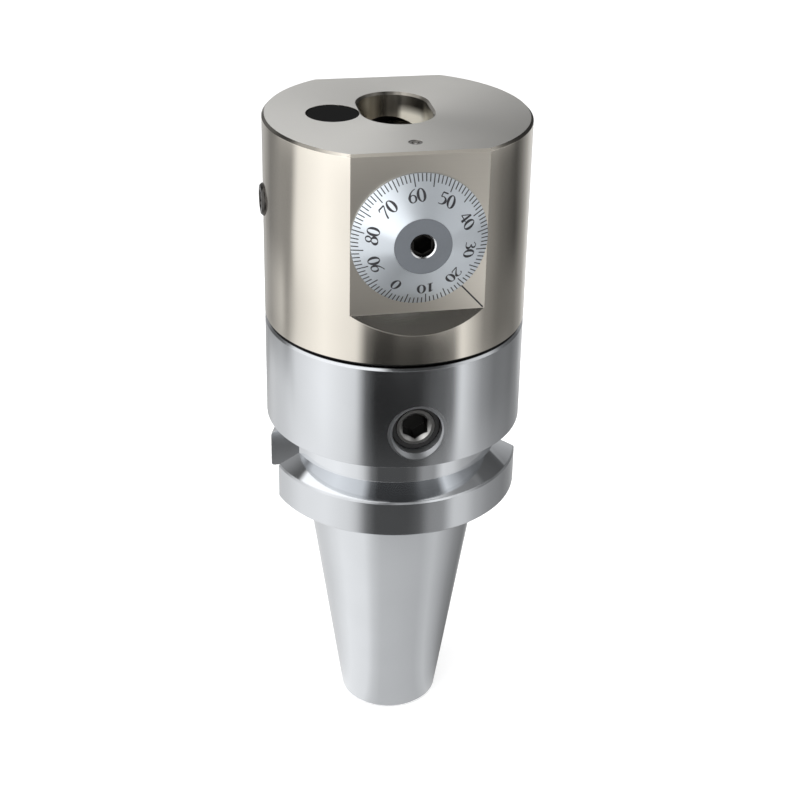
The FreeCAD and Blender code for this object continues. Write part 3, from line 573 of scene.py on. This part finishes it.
def matt_material(name, colour, roughness, gloss=0.5):
    """Rubber, plastic or ink with a faint grain."""
    material, tree, shader = new_material(name)
    fine = cloud_noise(tree, object_place(tree, ORIGIN), 0.3 * MM)
    shader.inputs["Specular IOR Level"].default_value = gloss
    feed(tree, shader.inputs["Base Color"], mix_colour(tree, fine, shaded(colour, 0.8), shaded(colour, 1.2)))
    feed(tree, shader.inputs["Roughness"], between(tree, fine, roughness * 0.85, roughness * 1.1))
    feed(tree, shader.inputs["Normal"], bumped(tree, fine, 0.01 * MM))
    return material


def socket_mouth(name, axis):
    """Axis, mouth and radius of a screw's wrench socket; the axis points into the screw."""
    low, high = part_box(name)
    size, way = high - low, Vector(axis)
    mouth = (low + high) / 2 - way * abs(size.dot(way)) / 2
    across = min(length for length, step in zip(size, way) if step == 0.0)
    return axis, tuple(mouth), across * SOCKET_SHARE


def paint(nodes, material):
    """Puts one material on every slot of the named pieces."""
    for name in nodes:
        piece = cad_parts[name]
        if not piece.material_slots:
            piece.data.materials.append(material)
        for slot in piece.material_slots:
            slot.material = material


def link(piece):
    """Adds an object to the scene."""
    bpy.context.scene.collection.objects.link(piece)
    return piece


def solid_from(mesh_maker, name):
    """Object from a function that fills a bmesh."""
    shape = bmesh.new()
    mesh_maker(shape)
    mesh = bpy.data.meshes.new(name)
    shape.to_mesh(mesh)
    shape.free()
    return link(bpy.data.objects.new(name, mesh))


def new_geometry_tree(name, sizes, counts=()):
    """Geometry tree with named inputs for its counts and sizes, their sockets and its output node."""
    tree = bpy.data.node_groups.new(name, "GeometryNodeTree")
    tree.interface.new_socket(name="Geometry", in_out="OUTPUT", socket_type="NodeSocketGeometry")
    for labels, kind in ((counts, "NodeSocketInt"), (sizes, "NodeSocketFloat")):
        for label in labels:
            tree.interface.new_socket(name=label, in_out="INPUT", socket_type=kind)
    return tree, tree.nodes.new("NodeGroupInput").outputs, tree.nodes.new("NodeGroupOutput")


def moved(tree, geometry, translation=ORIGIN, rotation=ORIGIN):
    """Transform node."""
    node = tree.nodes.new("GeometryNodeTransform")
    tree.links.new(geometry, node.inputs["Geometry"])
    feed(tree, node.inputs["Translation"], translation)
    feed(tree, node.inputs["Rotation"], rotation)
    return node.outputs[0]


def finish_tree(tree, geometry, output, material):
    """Realizes what is instanced and gives it its material."""
    real = tree.nodes.new("GeometryNodeRealizeInstances")
    tree.links.new(geometry, real.inputs[0])
    coat = tree.nodes.new("GeometryNodeSetMaterial")
    coat.inputs["Material"].default_value = material
    tree.links.new(real.outputs[0], coat.inputs["Geometry"])
    tree.links.new(coat.outputs[0], output.inputs[0])


def grow(name, tree, values):
    """Runs a geometry tree with its named values and keeps the result as a plain mesh."""
    seed = link(bpy.data.objects.new(name + "_seed", bpy.data.meshes.new(name + "_seed")))
    modifier = seed.modifiers.new(name, "NODES")
    modifier.node_group = tree
    for item in tree.interface.items_tree:
        if item.in_out == "INPUT" and item.name in values:
            modifier[item.identifier] = values[item.name]
    bpy.context.view_layer.update()
    evaluated = seed.evaluated_get(bpy.context.evaluated_depsgraph_get())
    mesh = bpy.data.meshes.new_from_object(evaluated)
    mesh.name = name
    bpy.data.objects.remove(seed)
    if not mesh.polygons:
        raise RuntimeError(name + " came out empty")
    return link(bpy.data.objects.new(name, mesh))


def tick_tree(material):
    """Marks on the dial's cone: a short one for each division and a long one at every fifth."""
    sizes = ("Short Mark", "Long Mark", "Mark Width", "Ink Depth", "Ink Proud", "Rim Radius", "Rim Front",
             "Cone Slope", "Axis Height", "Zero Angle")
    tree, get, output = new_geometry_tree("dial_marks", sizes, ("Divisions", "Long Every"))
    points = tree.nodes.new("GeometryNodePoints")
    feed(tree, points.inputs["Count"], get["Divisions"])
    feed(tree, points.inputs["Position"], join_vector(tree, z=get["Axis Height"]))
    index = tree.nodes.new("GeometryNodeInputIndex").outputs[0]
    step = calc(tree, "DIVIDE", 2.0 * math.pi, get["Divisions"])
    turn = join_vector(tree, y=calc(tree, "SUBTRACT", get["Zero Angle"], calc(tree, "MULTIPLY", index, step)))
    is_long = under(tree, calc(tree, "MODULO", index, get["Long Every"]), 0.5)
    is_short = calc(tree, "SUBTRACT", 1.0, is_long)
    sink = calc(tree, "SUBTRACT", calc(tree, "MULTIPLY", get["Ink Depth"], 0.5), get["Ink Proud"])
    rim = join_vector(tree, y=get["Rim Front"], z=get["Rim Radius"])
    tilt = join_vector(tree, x=calc(tree, "MULTIPLY", get["Cone Slope"], -1.0))
    joined = tree.nodes.new("GeometryNodeJoinGeometry")
    for length, chosen in ((get["Short Mark"], is_short), (get["Long Mark"], is_long)):
        box = tree.nodes.new("GeometryNodeMeshCube")
        feed(tree, box.inputs["Size"], join_vector(tree, get["Mark Width"], get["Ink Depth"], length))
        inward = calc(tree, "MULTIPLY", length, -0.5)
        laid = moved(tree, box.outputs["Mesh"], join_vector(tree, y=sink, z=inward))
        copies = tree.nodes.new("GeometryNodeInstanceOnPoints")
        tree.links.new(points.outputs[0], copies.inputs["Points"])
        tree.links.new(moved(tree, laid, rim, tilt), copies.inputs["Instance"])
        tree.links.new(turn, copies.inputs["Rotation"])
        tree.links.new(chosen, copies.inputs["Selection"])
        tree.links.new(copies.outputs[0], joined.inputs[0])
    finish_tree(tree, joined.outputs[0], output, material)
    return tree


def spiral_tree(name, material, sides):
    """Bar that winds up along Z: a thread's ridge with four sides, or a spring's round wire."""
    sizes = ("Coil Radius", "Bar Radius", "Pitch", "Turns", "Place X", "Place Y", "Start Height")
    tree, get, output = new_geometry_tree(name, sizes)
    spiral = tree.nodes.new("GeometryNodeCurveSpiral")
    spiral.inputs["Resolution"].default_value = 48
    feed(tree, spiral.inputs["Rotations"], get["Turns"])
    feed(tree, spiral.inputs["Start Radius"], get["Coil Radius"])
    feed(tree, spiral.inputs["End Radius"], get["Coil Radius"])
    feed(tree, spiral.inputs["Height"], calc(tree, "MULTIPLY", get["Pitch"], get["Turns"]))
    section = tree.nodes.new("GeometryNodeCurvePrimitiveCircle")
    section.mode = "RADIUS"
    section.inputs["Resolution"].default_value = sides
    feed(tree, section.inputs["Radius"], get["Bar Radius"])
    sweep = tree.nodes.new("GeometryNodeCurveToMesh")
    sweep.inputs["Fill Caps"].default_value = True
    tree.links.new(spiral.outputs[0], sweep.inputs["Curve"])
    tree.links.new(section.outputs[0], sweep.inputs["Profile Curve"])
    place = join_vector(tree, get["Place X"], get["Place Y"], get["Start Height"])
    finish_tree(tree, moved(tree, sweep.outputs[0], place), output, material)
    return tree


def dial_cone():
    """Front radius, rim height along Y and slope of the dial's cone, read from the dial's own points."""
    points = [vertex.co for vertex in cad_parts["dial_ring"].data.vertices]
    reach = [(math.hypot(p.x, p.z - DIAL_AXIS_Z), p.y) for p in points]
    front_r = max(radius for radius, y in reach if y < DIAL_LOW.y + SAME_EDGE)
    rim_y = min(y for radius, y in reach if radius > DIAL_RIM_R - SAME_EDGE)
    return front_r, rim_y, math.atan2(rim_y - DIAL_LOW.y, DIAL_RIM_R - front_r)


def cone_place(cone, radius, angle, depth):
    """Point on the dial's cone: radius and clockwise angle from the top, and depth under the surface."""
    _, rim_y, slope = cone
    y = rim_y - (DIAL_RIM_R - radius) * math.tan(slope)
    inward = Vector((0.0, math.cos(slope), -math.sin(slope))) * depth
    return Matrix.Rotation(angle, 3, "Y") @ (Vector((0.0, y, radius)) + inward) + Vector(DIAL_CENTRE)


def loop_stroke(cx, cy, rx, ry, thin, thick, lean=0.0, steps=28):
    """Upright ellipse with thin top and bottom and thick sides: points of (x, y, width)."""
    points = []
    for i in range(steps + 1):
        a = 2.0 * math.pi * i / steps
        weight = abs(math.cos(a - lean)) ** SWELL
        points.append((cx + rx * math.cos(a), cy + ry * math.sin(a), thin + (thick - thin) * weight))
    return points


def smooth_stroke(knots, steps=7):
    """Curve through a few knots of (x, y, width)."""
    ends = [knots[0]] + list(knots) + [knots[-1]]
    points = []
    for a, b, c, d in zip(ends, ends[1:], ends[2:], ends[3:]):
        for i in range(steps):
            t = i / steps
            points.append(tuple(
                0.5 * (2 * q + (r - p) * t + (2 * p - 5 * q + 4 * r - s) * t * t
                       + (3 * q - p - 3 * r + s) * t ** 3)
                for p, q, r, s in zip(a, b, c, d)))
    return points + [tuple(knots[-1])]


def numeral(digit):
    """Strokes of a bookish numeral, one unit high: points of (x, y, width)."""
    if digit == "0":
        return [loop_stroke(0.25, 0.5, 0.19, 0.47, THIN, THICK)]
    if digit == "1":
        flag = smooth_stroke([(0.10, 0.82, THIN), (0.18, 0.87, 0.06), (0.25, 0.96, THIN)])
        return [[(0.25, 0.02, THICK), (0.25, 0.95, THICK)], flag, [(0.10, 0.02, THIN), (0.40, 0.02, THIN)]]
    if digit == "2":
        hook = [(0.06, 0.72, THIN), (0.10, 0.87, 0.06), (0.23, 0.96, 0.05), (0.37, 0.88, 0.10),
                (0.41, 0.72, THICK), (0.33, 0.48, 0.10), (0.06, 0.05, THIN)]
        tail = [(0.42, 0.05, 0.05), (0.47, 0.2, THIN)]
        return [smooth_stroke(hook), [(0.05, 0.05, 0.10), (0.42, 0.05, 0.10)], tail]
    if digit == "3":
        upper = [(0.07, 0.80, THIN), (0.20, 0.96, 0.05), (0.36, 0.88, 0.10), (0.36, 0.66, 0.10),
                 (0.19, 0.53, THIN)]
        lower = [(0.19, 0.53, THIN), (0.36, 0.46, 0.10), (0.42, 0.26, THICK), (0.30, 0.06, 0.08),
                 (0.05, 0.07, 0.06)]
        return [smooth_stroke(upper), smooth_stroke(lower)]
    if digit == "4":
        return [[(0.34, 0.0, THICK), (0.34, 0.97, 0.10)], [(0.33, 0.97, THIN), (0.03, 0.31, THIN)],
                [(0.02, 0.29, 0.08), (0.48, 0.29, 0.08)]]
    if digit == "5":
        bowl = [(0.11, 0.56, THIN), (0.24, 0.60, 0.07), (0.39, 0.48, 0.11), (0.40, 0.24, THICK),
                (0.26, 0.05, 0.08), (0.05, 0.06, 0.06)]
        flag = [(0.12, 0.92, 0.11), (0.42, 0.93, 0.11)]
        return [smooth_stroke(bowl), [(0.12, 0.92, THIN), (0.10, 0.56, THIN)], flag]
    if digit in "69":
        arm = [(0.43, 0.97, THIN), (0.27, 0.86, 0.07), (0.13, 0.66, 0.10), (0.065, 0.40, THICK),
               (0.08, 0.22, 0.10)]
        strokes = [smooth_stroke(arm), loop_stroke(0.25, 0.29, 0.18, 0.27, THIN, 0.115)]
        if digit == "9":
            strokes = [[(NUMERAL_WIDTH - x, 1.0 - y, w) for x, y, w in stroke] for stroke in strokes]
        return strokes
    if digit == "7":
        leg = [(0.44, 0.90, THIN), (0.32, 0.58, 0.07), (0.22, 0.28, 0.09), (0.17, 0.0, 0.10)]
        bar = [(0.06, 0.91, 0.11), (0.45, 0.91, 0.11)]
        return [smooth_stroke(leg), bar, [(0.06, 0.92, THIN), (0.03, 0.76, THIN)]]
    head = loop_stroke(0.25, 0.745, 0.155, 0.215, THIN, 0.10, 0.4)
    return [head, loop_stroke(0.25, 0.27, 0.19, 0.25, THIN, THICK, 0.3)]


def add_ribbon(shape, stroke, place):
    """Closed flat bar along a stroke: place(x, y, side) gives its corners, side 0 in front and 1 behind."""
    rows = []
    count = len(stroke)
    for i, (x, y, width) in enumerate(stroke):
        x0, y0, _ = stroke[max(i - 1, 0)]
        x1, y1, _ = stroke[min(i + 1, count - 1)]
        along = Vector((x1 - x0, y1 - y0))
        across = Vector((-along.y, along.x)).normalized() * width / 2
        corners = ((x + across.x, y + across.y, 0), (x - across.x, y - across.y, 0),
                   (x - across.x, y - across.y, 1), (x + across.x, y + across.y, 1))
        rows.append([shape.verts.new(place(*corner)) for corner in corners])
    for a, b in zip(rows, rows[1:]):
        for k in range(4):
            shape.faces.new((a[k], a[(k + 1) % 4], b[(k + 1) % 4], b[k]))
    shape.faces.new(rows[0][::-1])
    shape.faces.new(rows[-1])


def add_number(shape, value, settings, cone):
    """One number on the dial's cone, with its top outwards."""
    digits = str(value)
    spread = settings.number_width / NUMERAL_WIDTH
    width = settings.number_width * len(digits)
    division = 2.0 * math.pi / settings.divisions
    centre_angle = settings.zero_angle - value * division
    size = settings.number_height

    for i, digit in enumerate(digits):
        def place(x, y, side, offset=i * settings.number_width - width / 2):
            radius = settings.number_radius + (y - 0.5) * size
            angle = centre_angle + (x * spread + offset) * size / radius
            depth = settings.ink_depth * side - settings.ink_proud
            return cone_place(cone, radius, angle, depth)
        for stroke in numeral(digit):
            add_ribbon(shape, stroke, place)


class BORINGHEAD_OT_metals(bpy.types.Operator):
    """Gives every metal, rubber and plastic piece its finish"""

    bl_idname = "boring_head.metals"
    bl_label = "Finish the Pieces"

    def execute(self, context):
        tones = context.scene.boring_head_finish
        paint(["taper_shank"], shank_metal("shank_ground_steel", tones.steel))
        paint(["head_body"], head_metal("head_satin_nickel", tones.nickel))
        paint(["dial_ring"], turned_metal("dial_turned_silver", tones.silver, 0.30, BACK, DIAL_CENTRE,
                                          spacing=0.18 * MM, stretch=0.75, mark_depth=0.0015 * MM,
                                          metallic=0.89))
        paint(["dial_hub"], hub_metal("hub_matt_grey", tones.hub, (0.86, 0.87, 0.88)))
        paint(["retainer_ring", "back_cover"],
              plain_metal("black_oxide_steel", tones.oxide, 0.38, metallic=0.7))
        paint(["tool_carrier"], plain_metal("carrier_ground_steel", shaded(tones.nickel, 0.75), 0.28))
        paint(["guide_screw", "oiler_cup"], plain_metal("small_dark_steel", tones.screw, 0.30))
        paint(["coupling_pin", "cone_seat"], plain_metal("pin_hardened_steel", tones.coupling, 0.20))
        for name, tone, axis, inner, rough in (("coupling_screw", tones.coupling, BACK, 0.16, 0.34),
                                               ("lead_screw", tones.oxide, BACK, 0.30, 0.22),
                                               # painted shade: the lock screw is a darkened copy of the screw
                                               # steel, standing in for its shadow against the head
                                               ("lock_screw", shaded(tones.screw, 0.4), RIGHT, 0.45, 0.22),
                                               ("bar_screw", tones.screw, LEFT, 0.10, 0.22)):
            paint([name], plain_metal(name + "_steel", tone, rough, socket=socket_mouth(name, axis),
                                      socket_tone=inner))
        paint(["drive_pin", "clamp_shoe", "oiler_spring"],
              plain_metal("small_bright_steel", tones.bright, 0.20))
        # painted highlight: the oiler's ball is near white and mostly matt, standing in for its glint
        paint(["oiler_ball"], plain_metal("oiler_ball_painted_glint", (0.96, 0.96, 0.95), 0.35, metallic=0.25))
        paint(["lead_nut", "front_thrust_washer", "rear_thrust_washer"],
              turned_metal("turned_bronze", tones.bronze, 0.30, BACK, DIAL_CENTRE))
        paint(["bar_pad"], plain_metal("clamp_pad_brass", tones.brass, 0.30))
        paint(["bore_plug"], matt_material("plug_black", tones.black, 0.85, gloss=0.0))
        paint(["coupling_seal", "journal_seal", "cover_seal"],
              matt_material("seal_rubber_black", (0.026, 0.026, 0.026), 0.5))
        return {"FINISHED"}


class BORINGHEAD_OT_dial_marks(bpy.types.Operator):
    """Cuts the ring of marks into the dial's rim"""

    bl_idname = "boring_head.dial_marks"
    bl_label = "Mark the Dial"

    def execute(self, context):
        dial = context.scene.boring_head_dial
        _, rim_y, slope = dial_cone()
        values = {"Divisions": dial.divisions, "Long Every": dial.long_every, "Short Mark": dial.short_mark,
                  "Long Mark": dial.long_mark, "Mark Width": dial.mark_width, "Ink Depth": dial.ink_depth,
                  "Ink Proud": dial.ink_proud, "Rim Radius": DIAL_RIM_R, "Rim Front": rim_y,
                  "Cone Slope": slope, "Axis Height": DIAL_AXIS_Z, "Zero Angle": dial.zero_angle}
        marks = grow("dial_marks", tick_tree(ink_material()), values)
        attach(marks, "dial")
        return {"FINISHED"}


class BORINGHEAD_OT_dial_numbers(bpy.types.Operator):
    """Cuts the numbers into the dial's cone"""

    bl_idname = "boring_head.dial_numbers"
    bl_label = "Number the Dial"

    def execute(self, context):
        dial = context.scene.boring_head_dial
        cone = dial_cone()

        def fill(shape):
            for value in range(0, dial.divisions, 10):
                add_number(shape, value, dial, cone)

        numbers = solid_from(fill, "dial_numbers")
        numbers.data.materials.append(ink_material())
        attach(numbers, "dial")
        return {"FINISHED"}


class BORINGHEAD_OT_index_line(bpy.types.Operator):
    """Cuts the index line into the head's flat beside the dial"""

    bl_idname = "boring_head.index_line"
    bl_label = "Cut the Index Line"

    def execute(self, context):
        dial = context.scene.boring_head_dial
        def fill(shape):
            def place(x, z, side):
                return Vector((x, -FLAT_Y - dial.ink_proud + side * dial.ink_depth, z))
            add_ribbon(shape, [(*end, dial.index_width) for end in INDEX_ENDS], place)

        line = solid_from(fill, "index_line")
        line.data.materials.append(ink_material())
        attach(line, "housing")
        return {"FINISHED"}


class BORINGHEAD_OT_stud_thread(bpy.types.Operator):
    """Cuts the stud thread into the shank's small end"""

    bl_idname = "boring_head.stud_thread"
    bl_label = "Cut the Stud Thread"

    def execute(self, context):
        thread = context.scene.boring_head_thread
        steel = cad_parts["taper_shank"].material_slots[0].material
        values = {"Coil Radius": thread.hole_radius + THREAD_SINK, "Bar Radius": thread.crest_depth,
                  "Pitch": thread.pitch, "Turns": thread.turns, "Place X": 0.0, "Place Y": 0.0,
                  "Start Height": FLOOR_Z + THREAD_START}
        ridge = grow("stud_thread", spiral_tree("stud_thread", steel, 4), values)
        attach(ridge, "housing")
        return {"FINISHED"}


class BORINGHEAD_OT_oiler_spring(bpy.types.Operator):
    """Winds the oiler's spring from round wire"""

    bl_idname = "boring_head.oiler_spring"
    bl_label = "Wind the Oiler's Spring"

    def execute(self, context):
        oiler = context.scene.boring_head_oiler
        low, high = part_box("oiler_spring")
        middle = (low + high) / 2
        wire = oiler.wire_radius
        values = {"Coil Radius": (high.x - low.x) / 2 - wire, "Bar Radius": wire,
                  "Pitch": (high.z - low.z - 2 * wire) / oiler.turns, "Turns": oiler.turns,
                  "Place X": middle.x, "Place Y": middle.y, "Start Height": low.z + wire}
        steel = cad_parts["oiler_spring"].material_slots[0].material
        spring = grow("oiler_coil", spiral_tree("oiler_coil", steel, 12), values)
        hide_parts("oiler_spring")
        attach(spring, "housing")
        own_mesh(spring)
        return {"FINISHED"}


def ink_material():
    """Black fill of every cut mark."""
    made = bpy.data.materials.get("mark_black_fill")
    return made or matt_material("mark_black_fill", (0.020, 0.020, 0.024), 0.5)


def seen_white(tree):
    """1 to the camera, in reflections and through glass, 0 as a light."""
    path = tree.nodes.new("ShaderNodeLightPath")
    seen = calc(tree, "MAXIMUM", path.outputs["Is Camera Ray"], path.outputs["Is Glossy Ray"])
    return calc(tree, "MAXIMUM", seen, path.outputs["Is Transmission Ray"])


def floor_material():
    """Pale floor that is white to the camera and in reflections, and keeps the shadow."""
    material, tree, shader = new_material("pale_floor")
    shader.inputs["Base Color"].default_value = (0.80, 0.80, 0.80, 1.0)
    shader.inputs["Roughness"].default_value = 0.9
    shader.inputs["Emission Color"].default_value = (1.0, 1.0, 1.0, 1.0)
    feed(tree, shader.inputs["Emission Strength"], calc(tree, "MULTIPLY", seen_white(tree), FLOOR_GLOW))
    return material


def turn_share(degrees):
    """Where a bearing lies on the ramps round the tent."""
    return (degrees + 180.0) / 360.0


def tent_material(strength):
    """Light tent: white cloth on the left, a black card in front, a narrow white strip on the right."""
    material = bpy.data.materials.new("studio_tent")
    material.use_nodes = True
    tree = material.node_tree
    tree.nodes.clear()
    output = tree.nodes.new("ShaderNodeOutputMaterial")
    glow = tree.nodes.new("ShaderNodeEmission")
    tree.links.new(glow.outputs[0], output.inputs["Surface"])
    x, y, z = split(tree, object_place(tree, (0.0, 0.0, 0.0)))
    bearing = calc(tree, "ARCTAN2", x, calc(tree, "MULTIPLY", y, -1.0))
    share = between(tree, bearing, 0.0, 1.0, -math.pi, math.pi)

    def ramp(levels):
        node = tree.nodes.new("ShaderNodeValToRGB")
        feed(tree, node.inputs[0], share)
        cards = node.color_ramp.elements
        while len(cards) < len(levels):
            cards.new(0.5)
        for card, (degrees, level) in zip(cards, levels.items()):
            card.position = turn_share(degrees)
            card.color = (level, level, level, 1.0)
        return node.outputs["Color"]

    def window(start, full, fading, gone):
        opened = rise(tree, share, turn_share(start), turn_share(full))
        return product(tree, opened, fall(tree, share, turn_share(fading), turn_share(gone)))

    lifted = calc(tree, "SUBTRACT", z, calc(tree, "MULTIPLY", window(-146, -136, -100, -92), 16.0 * MM))
    level = ramp(TENT_FLOOR)
    for height, start, end, levels in ((z, -58.0, -46.0, TENT_SKIRT), (lifted, -16.0, 0.0, TENT_LOW_WALL),
                                       (z, 15.0, 21.0, TENT_WALL), (z, 31.0, 45.0, TENT_SHOULDER)):
        level = mix_colour(tree, rise(tree, height, start * MM, end * MM), level, ramp(levels))
    card = product(tree, window(-14, -6, 34, 40), rise(tree, z, 31.0 * MM, 36.0 * MM),
                   fall(tree, z, 43.0 * MM, 58.0 * MM))
    level = mix_colour(tree, card, level, ramp(TENT_STRIP))
    for start, end, levels in ((66.0, 76.0, TENT_MIDDLE), (400.0, 440.0, TENT_CROWN)):
        level = mix_colour(tree, rise(tree, z, start * MM, end * MM), level, ramp(levels))
    tree.links.new(level, glow.inputs["Color"])
    glow.inputs["Strength"].default_value = strength
    return material


def add_lamp(name, place, aim, size, watts):
    """Square soft lamp that lights the floor and matt surfaces and leaves no glint on the metal."""
    lamp = bpy.data.lights.new(name, "AREA")
    lamp.shape = "SQUARE"
    lamp.size = size
    lamp.energy = watts
    holder = link(bpy.data.objects.new(name, lamp))
    holder.location = place
    holder.rotation_euler = (Vector(aim) - Vector(place)).to_track_quat("-Z", "Y").to_euler()
    holder.visible_glossy = False
    return holder


def add_camera():
    """Camera at the photograph's place: left of the dial's axis, looking down."""
    camera = bpy.data.cameras.new("photo_camera")
    camera.sensor_width = CAMERA_SENSOR
    camera.lens = CAMERA_LENS
    camera.shift_x, camera.shift_y = CAMERA_SHIFT
    camera.clip_start = 0.01
    camera.clip_end = 50.0
    forward = Vector(CAMERA_AIM).normalized()
    right = forward.cross(Vector(UP)).normalized()
    up = right.cross(forward)
    turned_right = right * math.cos(CAMERA_ROLL) + up * math.sin(CAMERA_ROLL)
    turned_up = up * math.cos(CAMERA_ROLL) - right * math.sin(CAMERA_ROLL)
    holder = link(bpy.data.objects.new("photo_camera", camera))
    axes = Matrix((turned_right, turned_up, -forward)).transposed()
    holder.matrix_world = Matrix.Translation(CAMERA_PLACE) @ axes.to_4x4()
    bpy.context.scene.camera = holder


class BORINGHEAD_OT_stage(bpy.types.Operator):
    """Sets up the pale floor, the cards, the lamps, the world and the camera"""

    bl_idname = "boring_head.stage"
    bl_label = "Set the Stage"

    def execute(self, context):
        stage = context.scene.boring_head_stage

        def disc(shape):
            bmesh.ops.create_circle(shape, cap_ends=True, segments=ROUND_STEPS, radius=stage.floor_radius,
                                    matrix=Matrix.Translation((0.0, 0.0, FLOOR_Z)))

        def tent(shape):
            rows = []
            for i in range(ROUND_STEPS):
                a = 2.0 * math.pi * i / ROUND_STEPS
                rows.append([shape.verts.new((r * math.cos(a), r * math.sin(a), z)) for r, z in TENT_PROFILE])
            for a, b in zip(rows, rows[1:] + rows[:1]):
                for k in range(len(TENT_PROFILE) - 1):
                    shape.faces.new((a[k], a[k + 1], b[k + 1], b[k]))

        floor = solid_from(disc, "stage_floor")
        floor.data.materials.append(floor_material())
        cards = solid_from(tent, "stage_tent")
        cards.data.materials.append(tent_material(stage.tent_strength))
        cards.visible_camera = False
        cards.visible_diffuse = False
        cards.visible_shadow = False
        cards.visible_transmission = False
        cards.visible_volume_scatter = False
        lamps = [add_lamp(name, place, aim, size, stage.lamp_watts * share)
                 for name, place, aim, size, share in LAMPS]
        self.light_world(context.scene)
        add_camera()
        context.scene.view_settings.view_transform = "Standard"
        return {"FINISHED"}

    def light_world(self, scene):
        """White to the camera and in reflections, softer as a light."""
        world = bpy.data.worlds.new("studio_white")
        scene.world = world
        world.use_nodes = True
        tree = world.node_tree
        tree.nodes.clear()
        output = tree.nodes.new("ShaderNodeOutputWorld")
        background = tree.nodes.new("ShaderNodeBackground")
        background.inputs["Color"].default_value = (1.0, 1.0, 1.0, 1.0)
        feed(tree, background.inputs["Strength"], between(tree, seen_white(tree), WORLD_LIGHT, 1.0))
        tree.links.new(background.outputs[0], output.inputs["Surface"])


class VIEW3D_PT_boring_head(bpy.types.Panel):
    """Settings and steps of the boring head"""

    bl_label = "Boring Head"
    bl_space_type = "VIEW_3D"
    bl_region_type = "UI"
    bl_category = "Boring Head"

    def draw(self, context):
        for name, (title, _) in SETTINGS.items():
            group = getattr(context.scene, name)
            box = self.layout.box()
            box.label(text=title)
            for entry in group.__annotations__:
                box.prop(group, entry)
        for operator in OPERATORS:
            self.layout.operator(operator.bl_idname)


SETTINGS = {"boring_head_finish": ("Finishes", FinishSettings), "boring_head_dial": ("Dial", DialSettings),
            "boring_head_thread": ("Stud Thread", ThreadSettings),
            "boring_head_oiler": ("Oiler", OilerSettings), "boring_head_stage": ("Stage", StageSettings)}
OPERATORS = (BORINGHEAD_OT_metals, BORINGHEAD_OT_dial_marks, BORINGHEAD_OT_dial_numbers,
             BORINGHEAD_OT_index_line, BORINGHEAD_OT_stud_thread, BORINGHEAD_OT_oiler_spring,
             BORINGHEAD_OT_stage)


def register():
    for name, (_, group) in SETTINGS.items():
        bpy.utils.register_class(group)
        setattr(bpy.types.Scene, name, PointerProperty(type=group))
    for operator in OPERATORS:
        bpy.utils.register_class(operator)
    bpy.utils.register_class(VIEW3D_PT_boring_head)


def unregister():
    bpy.utils.unregister_class(VIEW3D_PT_boring_head)
    for operator in reversed(OPERATORS):
        bpy.utils.unregister_class(operator)
    for name, (_, group) in SETTINGS.items():
        delattr(bpy.types.Scene, name)
        bpy.utils.unregister_class(group)


def main():
    register()
    bpy.ops.boring_head.metals()
    bpy.ops.boring_head.dial_marks()
    bpy.ops.boring_head.dial_numbers()
    bpy.ops.boring_head.index_line()
    bpy.ops.boring_head.stud_thread()
    bpy.ops.boring_head.oiler_spring()
    bpy.ops.boring_head.stage()


if __name__ == "__main__":
    main()
